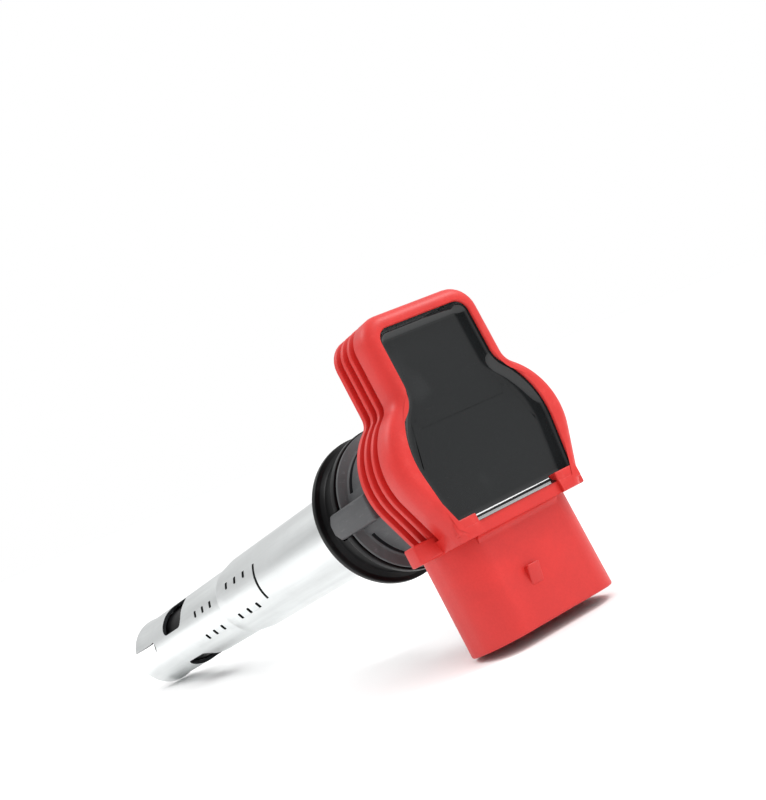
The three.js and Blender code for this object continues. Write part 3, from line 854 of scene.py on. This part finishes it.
class COIL_OT_head(Operator):
    """Models the red head: ribbed pot, connector shroud, ears, posts and latch nib"""
    bl_idname = "coil.head"
    bl_label = "Head"

    def execute(self, context):
        s, c = context.scene.coil_head, context.scene.coil_connector
        piece, end, top = self.pot(s), c.end_face, HEAD_HIGH.z
        clear = 60 * MM
        carve(piece, box("end_tool", (end, -clear, 0), (end + clear, clear, clear)))
        carve(piece, self.shroud(c), "UNION")
        carve(piece, self.fillet(c), "UNION")
        for side in (-1, 1):
            ys = sorted((side * c.ear_inner, side * HEAD_HIGH.y))
            ear = box("ear", (end - c.ear, ys[0], c.ear_top - c.ear), (end, ys[1], c.ear_top),
                      0.35 * MM)
            carve(piece, ear, "UNION")
            ys = sorted((side * c.post_inner, side * c.post_outer))
            post = box("post", (c.post_start, ys[0], s.skirt + s.floor - 0.3 * MM),
                       (c.post_end, ys[1], top - 0.1 * MM), 0.25 * MM)
            carve(piece, post, "UNION")
        carve(piece, box("dip_tool", (11.2 * MM, -c.post_inner, top - c.dip),
                         (end + 3 * MM, c.post_inner, top + 3 * MM)))
        carve(piece, self.nib(c), "UNION")
        nothing_selected()
        bpy.ops.mesh.primitive_cylinder_add(vertices=96, radius=s.floor_hole, depth=20 * MM,
                                            location=(0, 0, s.skirt))
        carve(piece, bpy.context.object)
        gap, middle = 0.2 * MM, c.top - c.blade_drop
        blade = box("blade_slot", (9 * MM, BLADE_LOW.y - gap, middle - 3 * gap),
                    (18 * MM, BLADE_HIGH.y + gap, middle + 3 * gap), 0.15 * MM)
        open_all(blade)
        for _ in range(3):
            bpy.ops.mesh.duplicate_move(TRANSFORM_OT_translate={"value": (0, c.pitch, 0)})
        close_up()
        carve(piece, blade)
        piece.name = piece.data.name = "head_shell"
        finished(piece, "head_housing", "coil", "red_plastic")
        return {"FINISHED"}

    def pot(self, s):
        """The pot as a stack of outlines, up the outside, over the rim and down inside."""
        top, stack = HEAD_HIGH.z, Stack("pot")
        pitch = (top - s.rim_height - s.skirt) / s.rib_count
        d, e = s.groove_depth, s.edge
        outside = lambda z, inset=0.0: stack.ring(lambda: OUTER.draw(z, 0.0, s.groove_end, inset))
        outside(s.skirt)
        for i in range(s.rib_count):
            low = s.skirt + i * pitch + s.rib_height
            high = s.skirt + (i + 1) * pitch
            for inset, z in ((0, low - e), (0.3 * e, low - 0.3 * e), (e, low),
                             (d - e, low + 0.05 * e), (d, low + e), (d, high - e),
                             (d - e, high - 0.05 * e), (e, high), (0.3 * e, high + 0.3 * e),
                             (0, high + e)):
                outside(z, inset)
        rise = top - s.rim_round
        for side, up in quarter_turn(s.rim_round, 8):
            stack.ring(lambda: OUTER.draw(rise + up, side, s.groove_end, 0.0))
        inner_end = s.groove_end - 6 * MM
        inside = lambda z, inset: stack.ring(lambda: INNER.draw(z, inset, inner_end, 0.0))
        inside(top - 0.02 * MM, -s.lip)
        for angle in (30, 60, 90):
            a = math.radians(angle)
            inside(top - s.lip * (1 - math.cos(a)), -s.lip * (1 - math.sin(a)))
        inside(s.skirt + s.floor, 0.0)
        return stack.closed()

    def shroud(self, c):
        """The connector shroud and its socket, as rounded outlines along X."""
        middle = c.top - c.height / 2
        stack = Stack("shroud")

        def outline(x, inset):
            w, h = c.width / 2 - inset, c.height / 2 - inset
            r = c.corner - inset
            pen = Pen((x, w, middle))
            for sy, sz, turn in ((1, 1, 0), (-1, 1, 90), (-1, -1, 180), (1, -1, 270)):
                a = math.radians(turn)
                centre = (x, sy * (w - r), middle + sz * (h - r))
                pen.line((x, centre[1] + r * math.cos(a), centre[2] + r * math.sin(a)))
                pen.arc(centre, math.pi / 2, 12, "X")
            pen.close()

        mouth, back = HEAD_HIGH.x, HEAD_HIGH.x - c.depth
        rings = [(13.2 * MM, 0.0)]
        rings += [(mouth - c.lip + up, side) for side, up in quarter_turn(c.lip, 4)]
        rings += [(mouth - max(side, 0.02 * MM), c.wall - c.lip + up)
                  for side, up in quarter_turn(c.lip, 4)]
        rings += [(back + 0.6 * MM, c.wall), (back, c.wall + 0.6 * MM)]
        for x, inset in rings:
            stack.ring(lambda: outline(x, inset))
        return stack.closed()

    def fillet(self, c):
        """The hollow corner where the end wall meets the shroud's top."""
        piece, reach = blank("fillet"), c.width / 2 - c.corner + 1 * MM
        sink = 0.2 * MM
        far = c.fillet + sink
        foot = Vector((c.end_face - sink, -reach, c.top - sink))
        pen = traced((foot, foot + Vector((far, 0, 0)), foot + Vector((far, 0, sink))))
        pen.arc((c.end_face + c.fillet, -reach, c.top + c.fillet), math.pi / 2, 8, "Y")
        pen.line(foot + Vector((0, 0, far)))
        pen.close()
        bpy.ops.mesh.edge_face_add()
        bpy.ops.mesh.extrude_region_move(TRANSFORM_OT_translate={"value": (0, 2 * reach, 0)})
        faces_out()
        close_up()
        return piece

    def nib(self, c):
        """The latch ramp: a step towards the head that falls away towards the mouth."""
        x, y = c.nib_x, c.nib_y
        nib = box("nib", (x, y - c.nib_width / 2, c.top - 0.5 * MM),
                  (x + c.nib_length, y + c.nib_width / 2, c.top + c.nib_height))
        open_all(nib)
        pick(lambda co: co.x > x + c.nib_length / 2 and co.z > c.top)
        bpy.ops.transform.translate(value=(0, 0, 0.05 * MM - c.nib_height))
        bpy.ops.mesh.select_mode(type="EDGE")
        bpy.ops.mesh.select_all(action="SELECT")
        bpy.ops.mesh.bevel(offset=0.3 * MM, segments=3, affect="EDGES")
        close_up()
        return nib


class COIL_OT_resin(Operator):
    """Models the potting resin, which climbs the pot's wall all round"""
    bl_idname = "coil.resin"
    bl_label = "Resin"

    def execute(self, context):
        s = context.scene.coil_resin
        level, touch = RESIN_HIGH.z, 0.03 * MM
        stack = Stack("resin_fill")
        stack.ring(lambda: INNER.draw(RESIN_LOW.z, touch))
        stack.ring(lambda: INNER.draw(level + s.climb, touch))
        for t in (0.03, 0.07, 0.12, 0.18, 0.26, 0.36, 0.48, 0.62, 0.8, 0.98):
            stack.ring(lambda: INNER.draw(level + s.climb * (1 - t) ** 3.6, touch + s.reach * t))
        stack.ring(lambda: INNER.draw(level - 0.003 * MM, touch + s.reach * 1.3))
        piece = stack.closed()
        carve(piece, box("driver_pocket", (-12 * MM, -11.5 * MM, RESIN_LOW.z - 1 * MM),
                         (11 * MM, 11.5 * MM, level - s.skin)))
        for side in (-1, 1):
            ys = sorted((side * 9.55 * MM, side * 20 * MM))
            carve(piece, box("post_gap", (10.25 * MM, ys[0], RESIN_LOW.z - 1 * MM),
                             (14 * MM, ys[1], HEAD_HIGH.z + 1 * MM)))
        finished(piece, "potting_resin", "coil", "potting_resin", 50)
        for face in piece.data.polygons:
            if face.normal.z > 0.9999 and face.center.z > RESIN_LOW.z + 1 * MM:
                face.use_smooth = False
        return {"FINISHED"}


class COIL_OT_terminals(Operator):
    """Models one terminal blade and copies it along the row"""
    bl_idname = "coil.terminals"
    bl_label = "Terminals"

    def execute(self, context):
        c = context.scene.coil_connector
        low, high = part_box("terminal_1")
        thick, taper = 0.8 * MM, 1.3 * MM
        tab_z = c.top - c.blade_drop
        blade = box("terminal_blade", (low.x, low.y, tab_z - thick / 2),
                    (high.x, high.y, tab_z + thick / 2))
        open_all(blade)
        pick(lambda co: co.x > high.x - MERGE)
        bpy.ops.transform.translate(value=(-taper, 0, 0))
        bpy.ops.mesh.extrude_region_move(TRANSFORM_OT_translate={"value": (taper, 0, 0)})
        bpy.ops.transform.resize(value=(1, 0.5, 0.35),
                                 center_override=(high.x, (low.y + high.y) / 2, tab_z))
        bpy.ops.mesh.select_mode(type="EDGE")
        bpy.ops.mesh.select_all(action="SELECT")
        bpy.ops.mesh.bevel(offset=0.1 * MM, segments=2, affect="EDGES")
        close_up()
        foot = box("terminal_foot", (low.x, low.y + 0.02 * MM, low.z),
                   (low.x + thick, high.y - 0.02 * MM, tab_z + 0.3 * MM), 0.1 * MM, 2)
        carve(blade, foot, "UNION")
        for i in range(4):
            only(blade)
            if i:
                bpy.ops.object.duplicate(linked=False)
            piece = bpy.context.object
            piece.name = piece.data.name = f"terminal_blade_{i + 1}"
            open_all(piece)
            bpy.ops.transform.translate(value=(0, c.pitch if i else 0, 0))
            close_up()
            blade = piece
            finished(piece, f"terminal_{i + 1}", "coil", "tin")
        return {"FINISHED"}


# ------------------------------------------------------------------ neck, seal and shaft

def swept_window(start, sweep, steps, radii, levels):
    """A tool of rectangular section swept round the plug axis, to cut a curved slot."""
    piece = blank("window_tool")
    a = math.radians(start)
    corners = [(radii[0], levels[0]), (radii[1], levels[0]), (radii[1], levels[1]),
               (radii[0], levels[1])]
    traced([(r * math.cos(a), r * math.sin(a), z) for r, z in corners]).close()
    bpy.ops.mesh.edge_face_add()
    bpy.ops.mesh.spin(steps=steps, angle=-math.radians(sweep), center=(0, 0, 0), axis=(0, 0, 1))
    faces_out()
    close_up()
    return piece


class COIL_OT_neck(Operator):
    """Models the grey neck with its two lugs and curved slots"""
    bl_idname = "coil.neck"
    bl_label = "Neck"

    def execute(self, context):
        s, mm = context.scene.coil_neck, MM
        low, top, bottom = NECK_LOW.z, s.top, s.base
        piece = turned("neck", [
            (s.bore, bottom, 0), (s.shoulder, bottom, 0.25 * mm),
            (s.shoulder, bottom + 0.75 * mm, 0.25 * mm), (s.radius, 11.4 * mm, 0.5 * mm),
            (s.radius, top, 0.2 * mm), (9.5 * mm, top, 0), (9.5 * mm, NECK_HIGH.z, 0.2 * mm),
            (8.5 * mm, NECK_HIGH.z, 0), (8.5 * mm, 18 * mm, 0), (s.bore, 18 * mm, 0)])
        for angle in (-90, 90):
            half = s.lug_width / 2
            inside = s.radius - 2.6 * mm
            lug = box("lug", (inside, -half, low), (s.lug_radius, half, s.lug_top))
            open_all(lug)
            pick_edges(lambda a, b: a.z < low + MERGE and b.z < low + MERGE
                       and abs(a.y - b.y) < MERGE)
            bpy.ops.mesh.bevel(offset=1.5 * mm, segments=1, affect="EDGES")
            pick_edges(lambda a, b: (a.x + b.x) / 2 > inside + MERGE
                       and not (min(a.z, b.z) > s.lug_top - 0.6 * mm and a.x != b.x))
            bpy.ops.mesh.bevel(offset=0.45 * mm, segments=3, affect="EDGES")
            close_up()
            aim(lug, angle)
            carve(piece, lug, "UNION")
        depth = s.radius - s.slot_depth
        for start in (-70, 110, -156, 24):
            carve(piece, swept_window(start, 46, 16, (depth, s.radius + 3 * mm),
                                      (s.slot_low, s.slot_high)))
        softened(piece, 0.12 * mm)
        finished(piece, "neck_collar", "coil", "grey_plastic")
        # The curved slots' inner faces get the near-black painted shade, so that the slots read
        # dark.
        recess_shade_faces(piece, lambda place, radius, out:
                  s.slot_low - 0.15 * mm < place.z < s.slot_high + 0.25 * mm
                  and depth - 0.1 * mm < radius < s.radius - 0.1 * mm)
        return {"FINISHED"}


class COIL_OT_seal(Operator):
    """Models the rubber well seal, notched for the lugs"""
    bl_idname = "coil.seal"
    bl_label = "Seal"

    def execute(self, context):
        s, mm = context.scene.coil_neck, MM
        low, top, collar = SEAL_LOW.z, SEAL_HIGH.z, s.seal_collar
        piece = turned("well_seal", [
            (s.bore, low, 0), (s.seal_lip, low, 0.7 * mm),
            (s.seal_lip, low + 1.85 * mm, 0.35 * mm),
            (s.seal_lip - 0.9 * mm, low + 2.1 * mm, 0.4 * mm),
            (s.seal_waist, low + 3.1 * mm, 0.8 * mm), (s.seal_waist, top - 2.4 * mm, 0.6 * mm),
            (collar, top - 1.5 * mm, 0.3 * mm), (collar, top, 0.3 * mm), (s.bore, top, 0)])
        for angle in (-90, 90):
            half = s.lug_width / 2 + 0.2 * mm
            notch = box("notch_tool", (s.bore + 0.3 * mm, -half, NECK_LOW.z - 0.3 * mm),
                        (collar + 2.3 * mm, half, top + 2.5 * mm))
            aim(notch, angle)
            carve(piece, notch)
        finished(piece, "seal_ring", "coil", "black_rubber")
        return {"FINISHED"}


def recess_shade_faces(piece, where):
    """Paints the faces that a test picks, such as the cut faces and inner wall of a slotted part,
    near-black: painted shade that makes the slits and slots read dark.
    """
    only(piece)
    piece.data.materials.append(bpy.data.materials["cut_edge"])
    piece.active_material_index = 1
    bpy.ops.object.mode_set(mode="EDIT")
    bpy.ops.mesh.select_mode(type="FACE")
    bpy.ops.mesh.select_all(action="DESELECT")
    mesh = open_mesh()
    for face in mesh.faces:
        place = face.calc_center_median()
        radius = Vector((place.x, place.y, 0))
        face.select_set(where(place, radius.length, face.normal.dot(radius.normalized())))
    bmesh.update_edit_mesh(piece.data)
    bpy.ops.object.material_slot_assign()
    close_up()
    nothing_selected()


# Windows in the metal wall: the middle of a group and how far its columns lie to each side,
# in degrees, then the first row's height and the step down to the next, three rows in all.
TUBE_SLITS = (-90, 25, -51.3 * MM, 5.3 * MM)
SLEEVE_SLITS = (-85, 22, -75 * MM, 5.1 * MM)
PORT_ANGLE, NOTCH_ANGLE = -132, -97
# Tube and sleeve faces that face outwards less than INWARD get the near-black painted shade.
INWARD = 0.35


def slit_tools(s, radius, centre, spread, first, step):
    """The bars that cut one set of slits, two columns in each of three groups."""
    half = s.slit_height / 2
    columns = []
    for angle in (centre - spread, centre + spread):
        bar = radial_bar(angle, radius, 1.6 * MM, s.slit_width, first - half, first + half,
                         0.3 * MM)
        repeat_down(bar, [-step, -2 * step])
        columns.append(bar)
    tool = merged(*columns)
    repeat_round(tool)
    return tool


class COIL_OT_tube(Operator):
    """Models the upper metal tube with its slits and curved cuts"""
    bl_idname = "coil.tube"
    bl_label = "Tube"

    def execute(self, context):
        s, mm = context.scene.coil_shaft, MM
        top, low = TUBE_HIGH.z, TUBE_LOW.z
        r, inner = s.tube_radius, s.tube_radius - s.tube_wall
        bend = low + 5 * mm
        piece = turned("tube", [
            (inner, top, 0), (inner, bend, 1.5 * mm), (8.4 * mm, low, 0),
            (8.75 * mm, low, 0.12 * mm), (r, bend, 2 * mm), (r, top, 0)], 120)
        carve(piece, slit_tools(s, r, *TUBE_SLITS))
        arc = swept_window(-120, 54, 18, (r - 2 * mm, r + 2 * mm), (s.arc_low, s.arc_high))
        repeat_round(arc)
        carve(piece, arc)
        softened(piece, 0.05 * mm, 1)
        finished(piece, "shield_tube", "coil", "bright_metal")
        # The tube's inner wall and the faces cut by the slits and curved cuts get the near-black
        # painted shade.
        recess_shade_faces(piece, lambda place, radius, out: out < INWARD
                  and low + 0.5 * mm < place.z < top - 0.5 * mm)
        return {"FINISHED"}


class COIL_OT_sleeve(Operator):
    """Models the lower sleeve with its slits, ports and keyhole notches"""
    bl_idname = "coil.sleeve"
    bl_label = "Sleeve"

    def execute(self, context):
        s, mm = context.scene.coil_shaft, MM
        top, low = SLEEVE_HIGH.z, SLEEVE_LOW.z
        r, tail = s.sleeve_radius, s.sleeve_radius - 0.4 * mm
        inner = tail - s.sleeve_wall
        seat = TUBE_LOW.z - 0.5 * mm
        flare = low + 6 * mm
        piece = turned("sleeve", [
            (inner, top, 0), (inner, flare, 3 * mm), (s.tip_radius - s.sleeve_wall, low, 0),
            (s.tip_radius, low, 0.15 * mm), (r, flare, 6 * mm), (r, seat, 0.2 * mm),
            (tail, seat, 0), (tail, top, 0)], 120)
        carve(piece, slit_tools(s, r, *SLEEVE_SLITS))
        width = 2 * r * math.sin(math.radians(28))
        port = radial_bar(PORT_ANGLE, r - 1.5 * mm, 4 * mm, width, s.port_low, s.port_high,
                          2.5 * mm)
        repeat_round(port)
        carve(piece, port)
        eye_z = low + s.notch_depth
        slot = radial_bar(NOTCH_ANGLE, r, 2.5 * mm, s.notch_width, low - 3 * mm, eye_z, 0.2 * mm)
        repeat_round(slot)
        carve(piece, slot)
        nothing_selected()
        bpy.ops.mesh.primitive_cylinder_add(vertices=32, radius=s.notch_eye, depth=5 * mm,
                                            location=(r, 0, eye_z),
                                            rotation=(0, math.pi / 2, 0))
        eye = bpy.context.object
        bpy.ops.object.transform_apply(location=True, rotation=True, scale=True)
        aim(eye, NOTCH_ANGLE)
        repeat_round(eye)
        carve(piece, eye)
        softened(piece, 0.05 * mm, 1)
        finished(piece, "plug_sleeve", "coil", "bright_metal")
        # The sleeve's inner wall and the faces cut by the slits, ports and notches get the
        # near-black painted shade.
        recess_shade_faces(piece, lambda place, radius, out: out < INWARD and place.z > low + 1 * mm)
        return {"FINISHED"}


class COIL_OT_boot(Operator):
    """Models the rubber boot inside the sleeve, with its sealing beads"""
    bl_idname = "coil.boot"
    bl_label = "Boot"

    def execute(self, context):
        mm = MM
        top, low, out = BOOT_HIGH.z, BOOT_LOW.z, BOOT_HIGH.x
        spring_bore, plug_bore, bead, waist = 3.7 * mm, 5.3 * mm, 4.95 * mm, out - 0.35 * mm
        piece = turned("boot", [
            (6.1 * mm, low, 0.25 * mm), (out, low, 0.8 * mm), (out, low + 3 * mm, 0.2 * mm),
            (waist, low + 3.6 * mm, 0.2 * mm), (waist, low + 9 * mm, 0.2 * mm),
            (out, low + 9.6 * mm, 0.2 * mm), (out, top, 0.3 * mm), (spring_bore, top, 0.3 * mm),
            (spring_bore, -97.5 * mm, 0.3 * mm), (plug_bore, -98.6 * mm, 0.5 * mm),
            (plug_bore, -105 * mm, 0.3 * mm), (bead, -106 * mm, 0.4 * mm),
            (plug_bore, -107 * mm, 0.3 * mm), (plug_bore, -113 * mm, 0.3 * mm),
            (bead, -114 * mm, 0.4 * mm), (plug_bore, -115 * mm, 0.3 * mm),
            (plug_bore, low + 0.9 * mm, 0.2 * mm)], 72)
        finished(piece, "plug_boot", "coil", "boot_rubber")
        return {"FINISHED"}


class COIL_OT_contact(Operator):
    """Models the contact spring, wound along the plug axis, and the cup it presses"""
    bl_idname = "coil.contact"
    bl_label = "Contact"

    def execute(self, context):
        mm = MM
        low, high = SPRING_LOW, SPRING_HIGH
        wire = 0.4 * mm
        coil_radius = high.x - wire
        turns, per_turn = 7, 28
        piece = blank("spring_wire")
        bpy.ops.mesh.primitive_circle_add(vertices=12, radius=wire, fill_type="NGON",
                                          location=(coil_radius, 0, low.z + wire),
                                          rotation=(math.pi / 2, 0, 0))
        rise = (high.z - low.z - 2 * wire) / (turns * per_turn)
        step = 2 * math.pi / per_turn
        for _ in range(turns * per_turn):
            bpy.ops.mesh.extrude_region_move(TRANSFORM_OT_translate={"value": (0, 0, rise)})
            bpy.ops.transform.rotate(value=-step, orient_axis="Z", orient_type="GLOBAL",
                                     center_override=(0, 0, 0))
        faces_out()
        close_up()
        finished(piece, "contact_spring", "coil", "steel", 60)
        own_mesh(piece)
        top, base, r = CAP_HIGH.z, CAP_LOW.z, CAP_HIGH.x
        cup = turned("contact_cup", [
            (0, top - 1.2 * mm, 0), (2.3 * mm, top - 1.2 * mm, 0.3 * mm),
            (2.3 * mm, base + 0.7 * mm, 0.2 * mm), (2.65 * mm, base, 0.1 * mm),
            (r, base, 0.2 * mm), (r, top - 2.2 * mm, 0.15 * mm),
            (r - 0.35 * mm, top - 1.9 * mm, 0.1 * mm), (r - 0.35 * mm, top - 1.3 * mm, 0.1 * mm),
            (r, top - 1 * mm, 0.15 * mm),
            (r, top, 0.3 * mm), (0, top, 0)], 64, closed=False)
        finished(cup, "contact_cap", "contact", "tin")
        return {"FINISHED"}


# ------------------------------------------------------------------ floor, lights and camera

CAMERA_AT = Vector((0.01701, -0.1528, 0.24513))
CAMERA_RIGHT = Vector((0.46293, 0.7654, 0.44705)).normalized()
CAMERA_UP = Vector((-0.87758, 0.32482, 0.35261)).normalized()
CAMERA_BACK = Vector((0.12468, -0.55556, 0.82207)).normalized()
# The coil lies on its sleeve's tip and its shroud's edge, so the floor's own up is nearly -X.
FLOOR_UP = Vector((-0.9885, 0, 0.1511)).normalized()
DIM_ROOM = Vector((0.1, -0.9, 0.42))
CENTRE = Vector((0, 0, -20 * MM))


def facing(place, target, up):
    """A transform at a place that looks at a target, with the given way up."""
    back = (place - target).normalized()
    right = up.cross(back).normalized()
    way = Matrix((right, back.cross(right), back)).transposed()
    return Matrix.Translation(place) @ way.to_4x4()


class COIL_OT_stage(Operator):
    """Sets the pale floor, the soft lights and the camera"""
    bl_idname = "coil.stage"
    bl_label = "Stage"

    def execute(self, context):
        scene = context.scene
        scene.view_settings.view_transform = "Standard"
        self.floor()
        self.sky(scene)
        side, up, back = CAMERA_RIGHT, CAMERA_UP, CAMERA_BACK
        key = self.lamp("key", "SUN", side * 0.25 + up + back * 0.5, 1.1)
        key.data.angle, key.visible_glossy = math.radians(70), False
        for name, way, size in (("top", side * 0.3 + up, 0.12),
                                ("left", up * 0.6 - side - back * 0.1, 0.25)):
            panel = self.lamp(name, "AREA", way, 0.7)
            panel.data.shape, panel.data.size = "DISK", size
        nothing_selected()
        bpy.ops.object.camera_add()
        camera = bpy.context.object
        camera.name = "camera"
        turn = Matrix((side, up, back)).transposed().to_4x4()
        camera.matrix_world = Matrix.Translation(CAMERA_AT) @ turn
        camera.data.lens, camera.data.sensor_width = 65.25, 36
        camera.data.sensor_fit = "AUTO"
        camera.data.clip_start, camera.data.clip_end = 0.005, 20
        scene.camera = camera
        return {"FINISHED"}

    def floor(self):
        """A pale plane under the sleeve's tip and the shroud's lower edge, seen from above only."""
        contact = Vector((-SLEEVE_LOW.x, 0, SLEEVE_LOW.z)) - FLOOR_UP * 0.15 * MM
        nothing_selected()
        bpy.ops.mesh.primitive_plane_add(size=6)
        floor = bpy.context.object
        floor.name = "floor"
        floor.matrix_world = facing(contact, contact - FLOOR_UP, Vector((0, 1, 0)))
        f = Finish("floor_paper", linear(252, 252, 252), roughness=0.9)
        f.rough(0.82 + 0.1 * f.noise(40, 3, 0.6))
        out = f.tree.nodes["Material Output"]
        away = f.add("ShaderNodeNewGeometry").outputs["Backfacing"]
        clear = f.add("ShaderNodeBsdfTransparent").outputs[0]
        mix = f.add("ShaderNodeMixShader", None, {0: away, 1: f.shader.outputs[0], 2: clear})
        f.tree.links.new(mix.outputs[0], out.inputs["Surface"])
        floor.data.materials.append(f.material)

    def sky(self, scene):
        """White all round. Gloss also sees a dim room behind the lens and a soft grey band."""
        world = bpy.data.worlds.new("studio")
        world.use_nodes = True
        n = Nodes(world.node_tree)
        way = n.add("ShaderNodeTexCoord").outputs["Generated"]
        path = n.add("ShaderNodeLightPath").outputs
        seen, mirrored = Wire(n, path["Is Camera Ray"]), Wire(n, path["Is Glossy Ray"])
        height = n.along(way, FLOOR_UP)
        above = n.map(n.along(way, Vector((0, 0, 1))), 0.1, 0.4)
        room = n.map(n.along(way, DIM_ROOM), -0.08, 0.22, 0.0, 0.85) * above
        band = n.map(height, 0.05, 0.22) * n.map(height, 0.22, 0.42, 1.0, 0.0) * 0.22
        overhead = n.map(height, 0.1, 0.9, 0.0, 0.25)
        glow = (0.74 + overhead) * (1 - mirrored)
        glow = glow + (0.78 + overhead - band) * (1 - room) * mirrored
        strength = glow * (1 - seen) + seen
        background = world.node_tree.nodes["Background"]
        background.inputs["Color"].default_value = (1, 1, 1, 1)
        n.tree.links.new(strength.socket, background.inputs["Strength"])
        scene.world = world

    def lamp(self, name, kind, way, power):
        """A light half a metre off in a given direction, aimed at the coil's middle."""
        nothing_selected()
        bpy.ops.object.light_add(type=kind)
        light = bpy.context.object
        light.name = name
        place = CENTRE + way.normalized() * 0.5
        light.matrix_world = facing(place, CENTRE, Vector((0.01, 0.02, 1)))
        light.data.energy = power
        return light


# ------------------------------------------------------------------ add-on

BUILD = (COIL_OT_finishes, COIL_OT_head, COIL_OT_resin, COIL_OT_terminals, COIL_OT_neck,
         COIL_OT_seal, COIL_OT_tube, COIL_OT_sleeve, COIL_OT_boot, COIL_OT_contact, COIL_OT_stage)
SIZES = {"coil_head": CoilHeadSizes, "coil_connector": CoilConnectorSizes,
         "coil_resin": CoilResinSizes, "coil_neck": CoilNeckSizes,
         "coil_shaft": CoilShaftSizes, "coil_colours": CoilColours}


class COIL_PT_build(Panel):
    """Lists the coil's sizes, colours and pieces"""
    bl_idname = "COIL_PT_build"
    bl_label = "Ignition coil"
    bl_space_type = "VIEW_3D"
    bl_region_type = "UI"
    bl_category = "Coil"

    def draw(self, context):
        for name, group in SIZES.items():
            part = self.layout.box()
            part.label(text=name.replace("_", " ").capitalize())
            for key in group.__annotations__:
                part.prop(getattr(context.scene, name), key)
        for operator in BUILD:
            self.layout.operator(operator.bl_idname)


def register():
    for group in SIZES.values():
        bpy.utils.register_class(group)
    for operator in BUILD:
        bpy.utils.register_class(operator)
    bpy.utils.register_class(COIL_PT_build)
    for name, group in SIZES.items():
        setattr(bpy.types.Scene, name, PointerProperty(type=group))


def unregister():
    for name in SIZES:
        delattr(bpy.types.Scene, name)
    bpy.utils.unregister_class(COIL_PT_build)
    for cls in (*reversed(BUILD), *SIZES.values()):
        bpy.utils.unregister_class(cls)


def main():
    for name in ("Cube", "Light", "Camera"):
        if name in bpy.data.objects:
            bpy.data.objects.remove(bpy.data.objects[name])
    register()
    for operator in BUILD:
        group, name = operator.bl_idname.split(".")
        if getattr(getattr(bpy.ops, group), name)() != {"FINISHED"}:
            raise RuntimeError(f"{operator.bl_label} wasn't made")


if __name__ == "__main__":
    main()
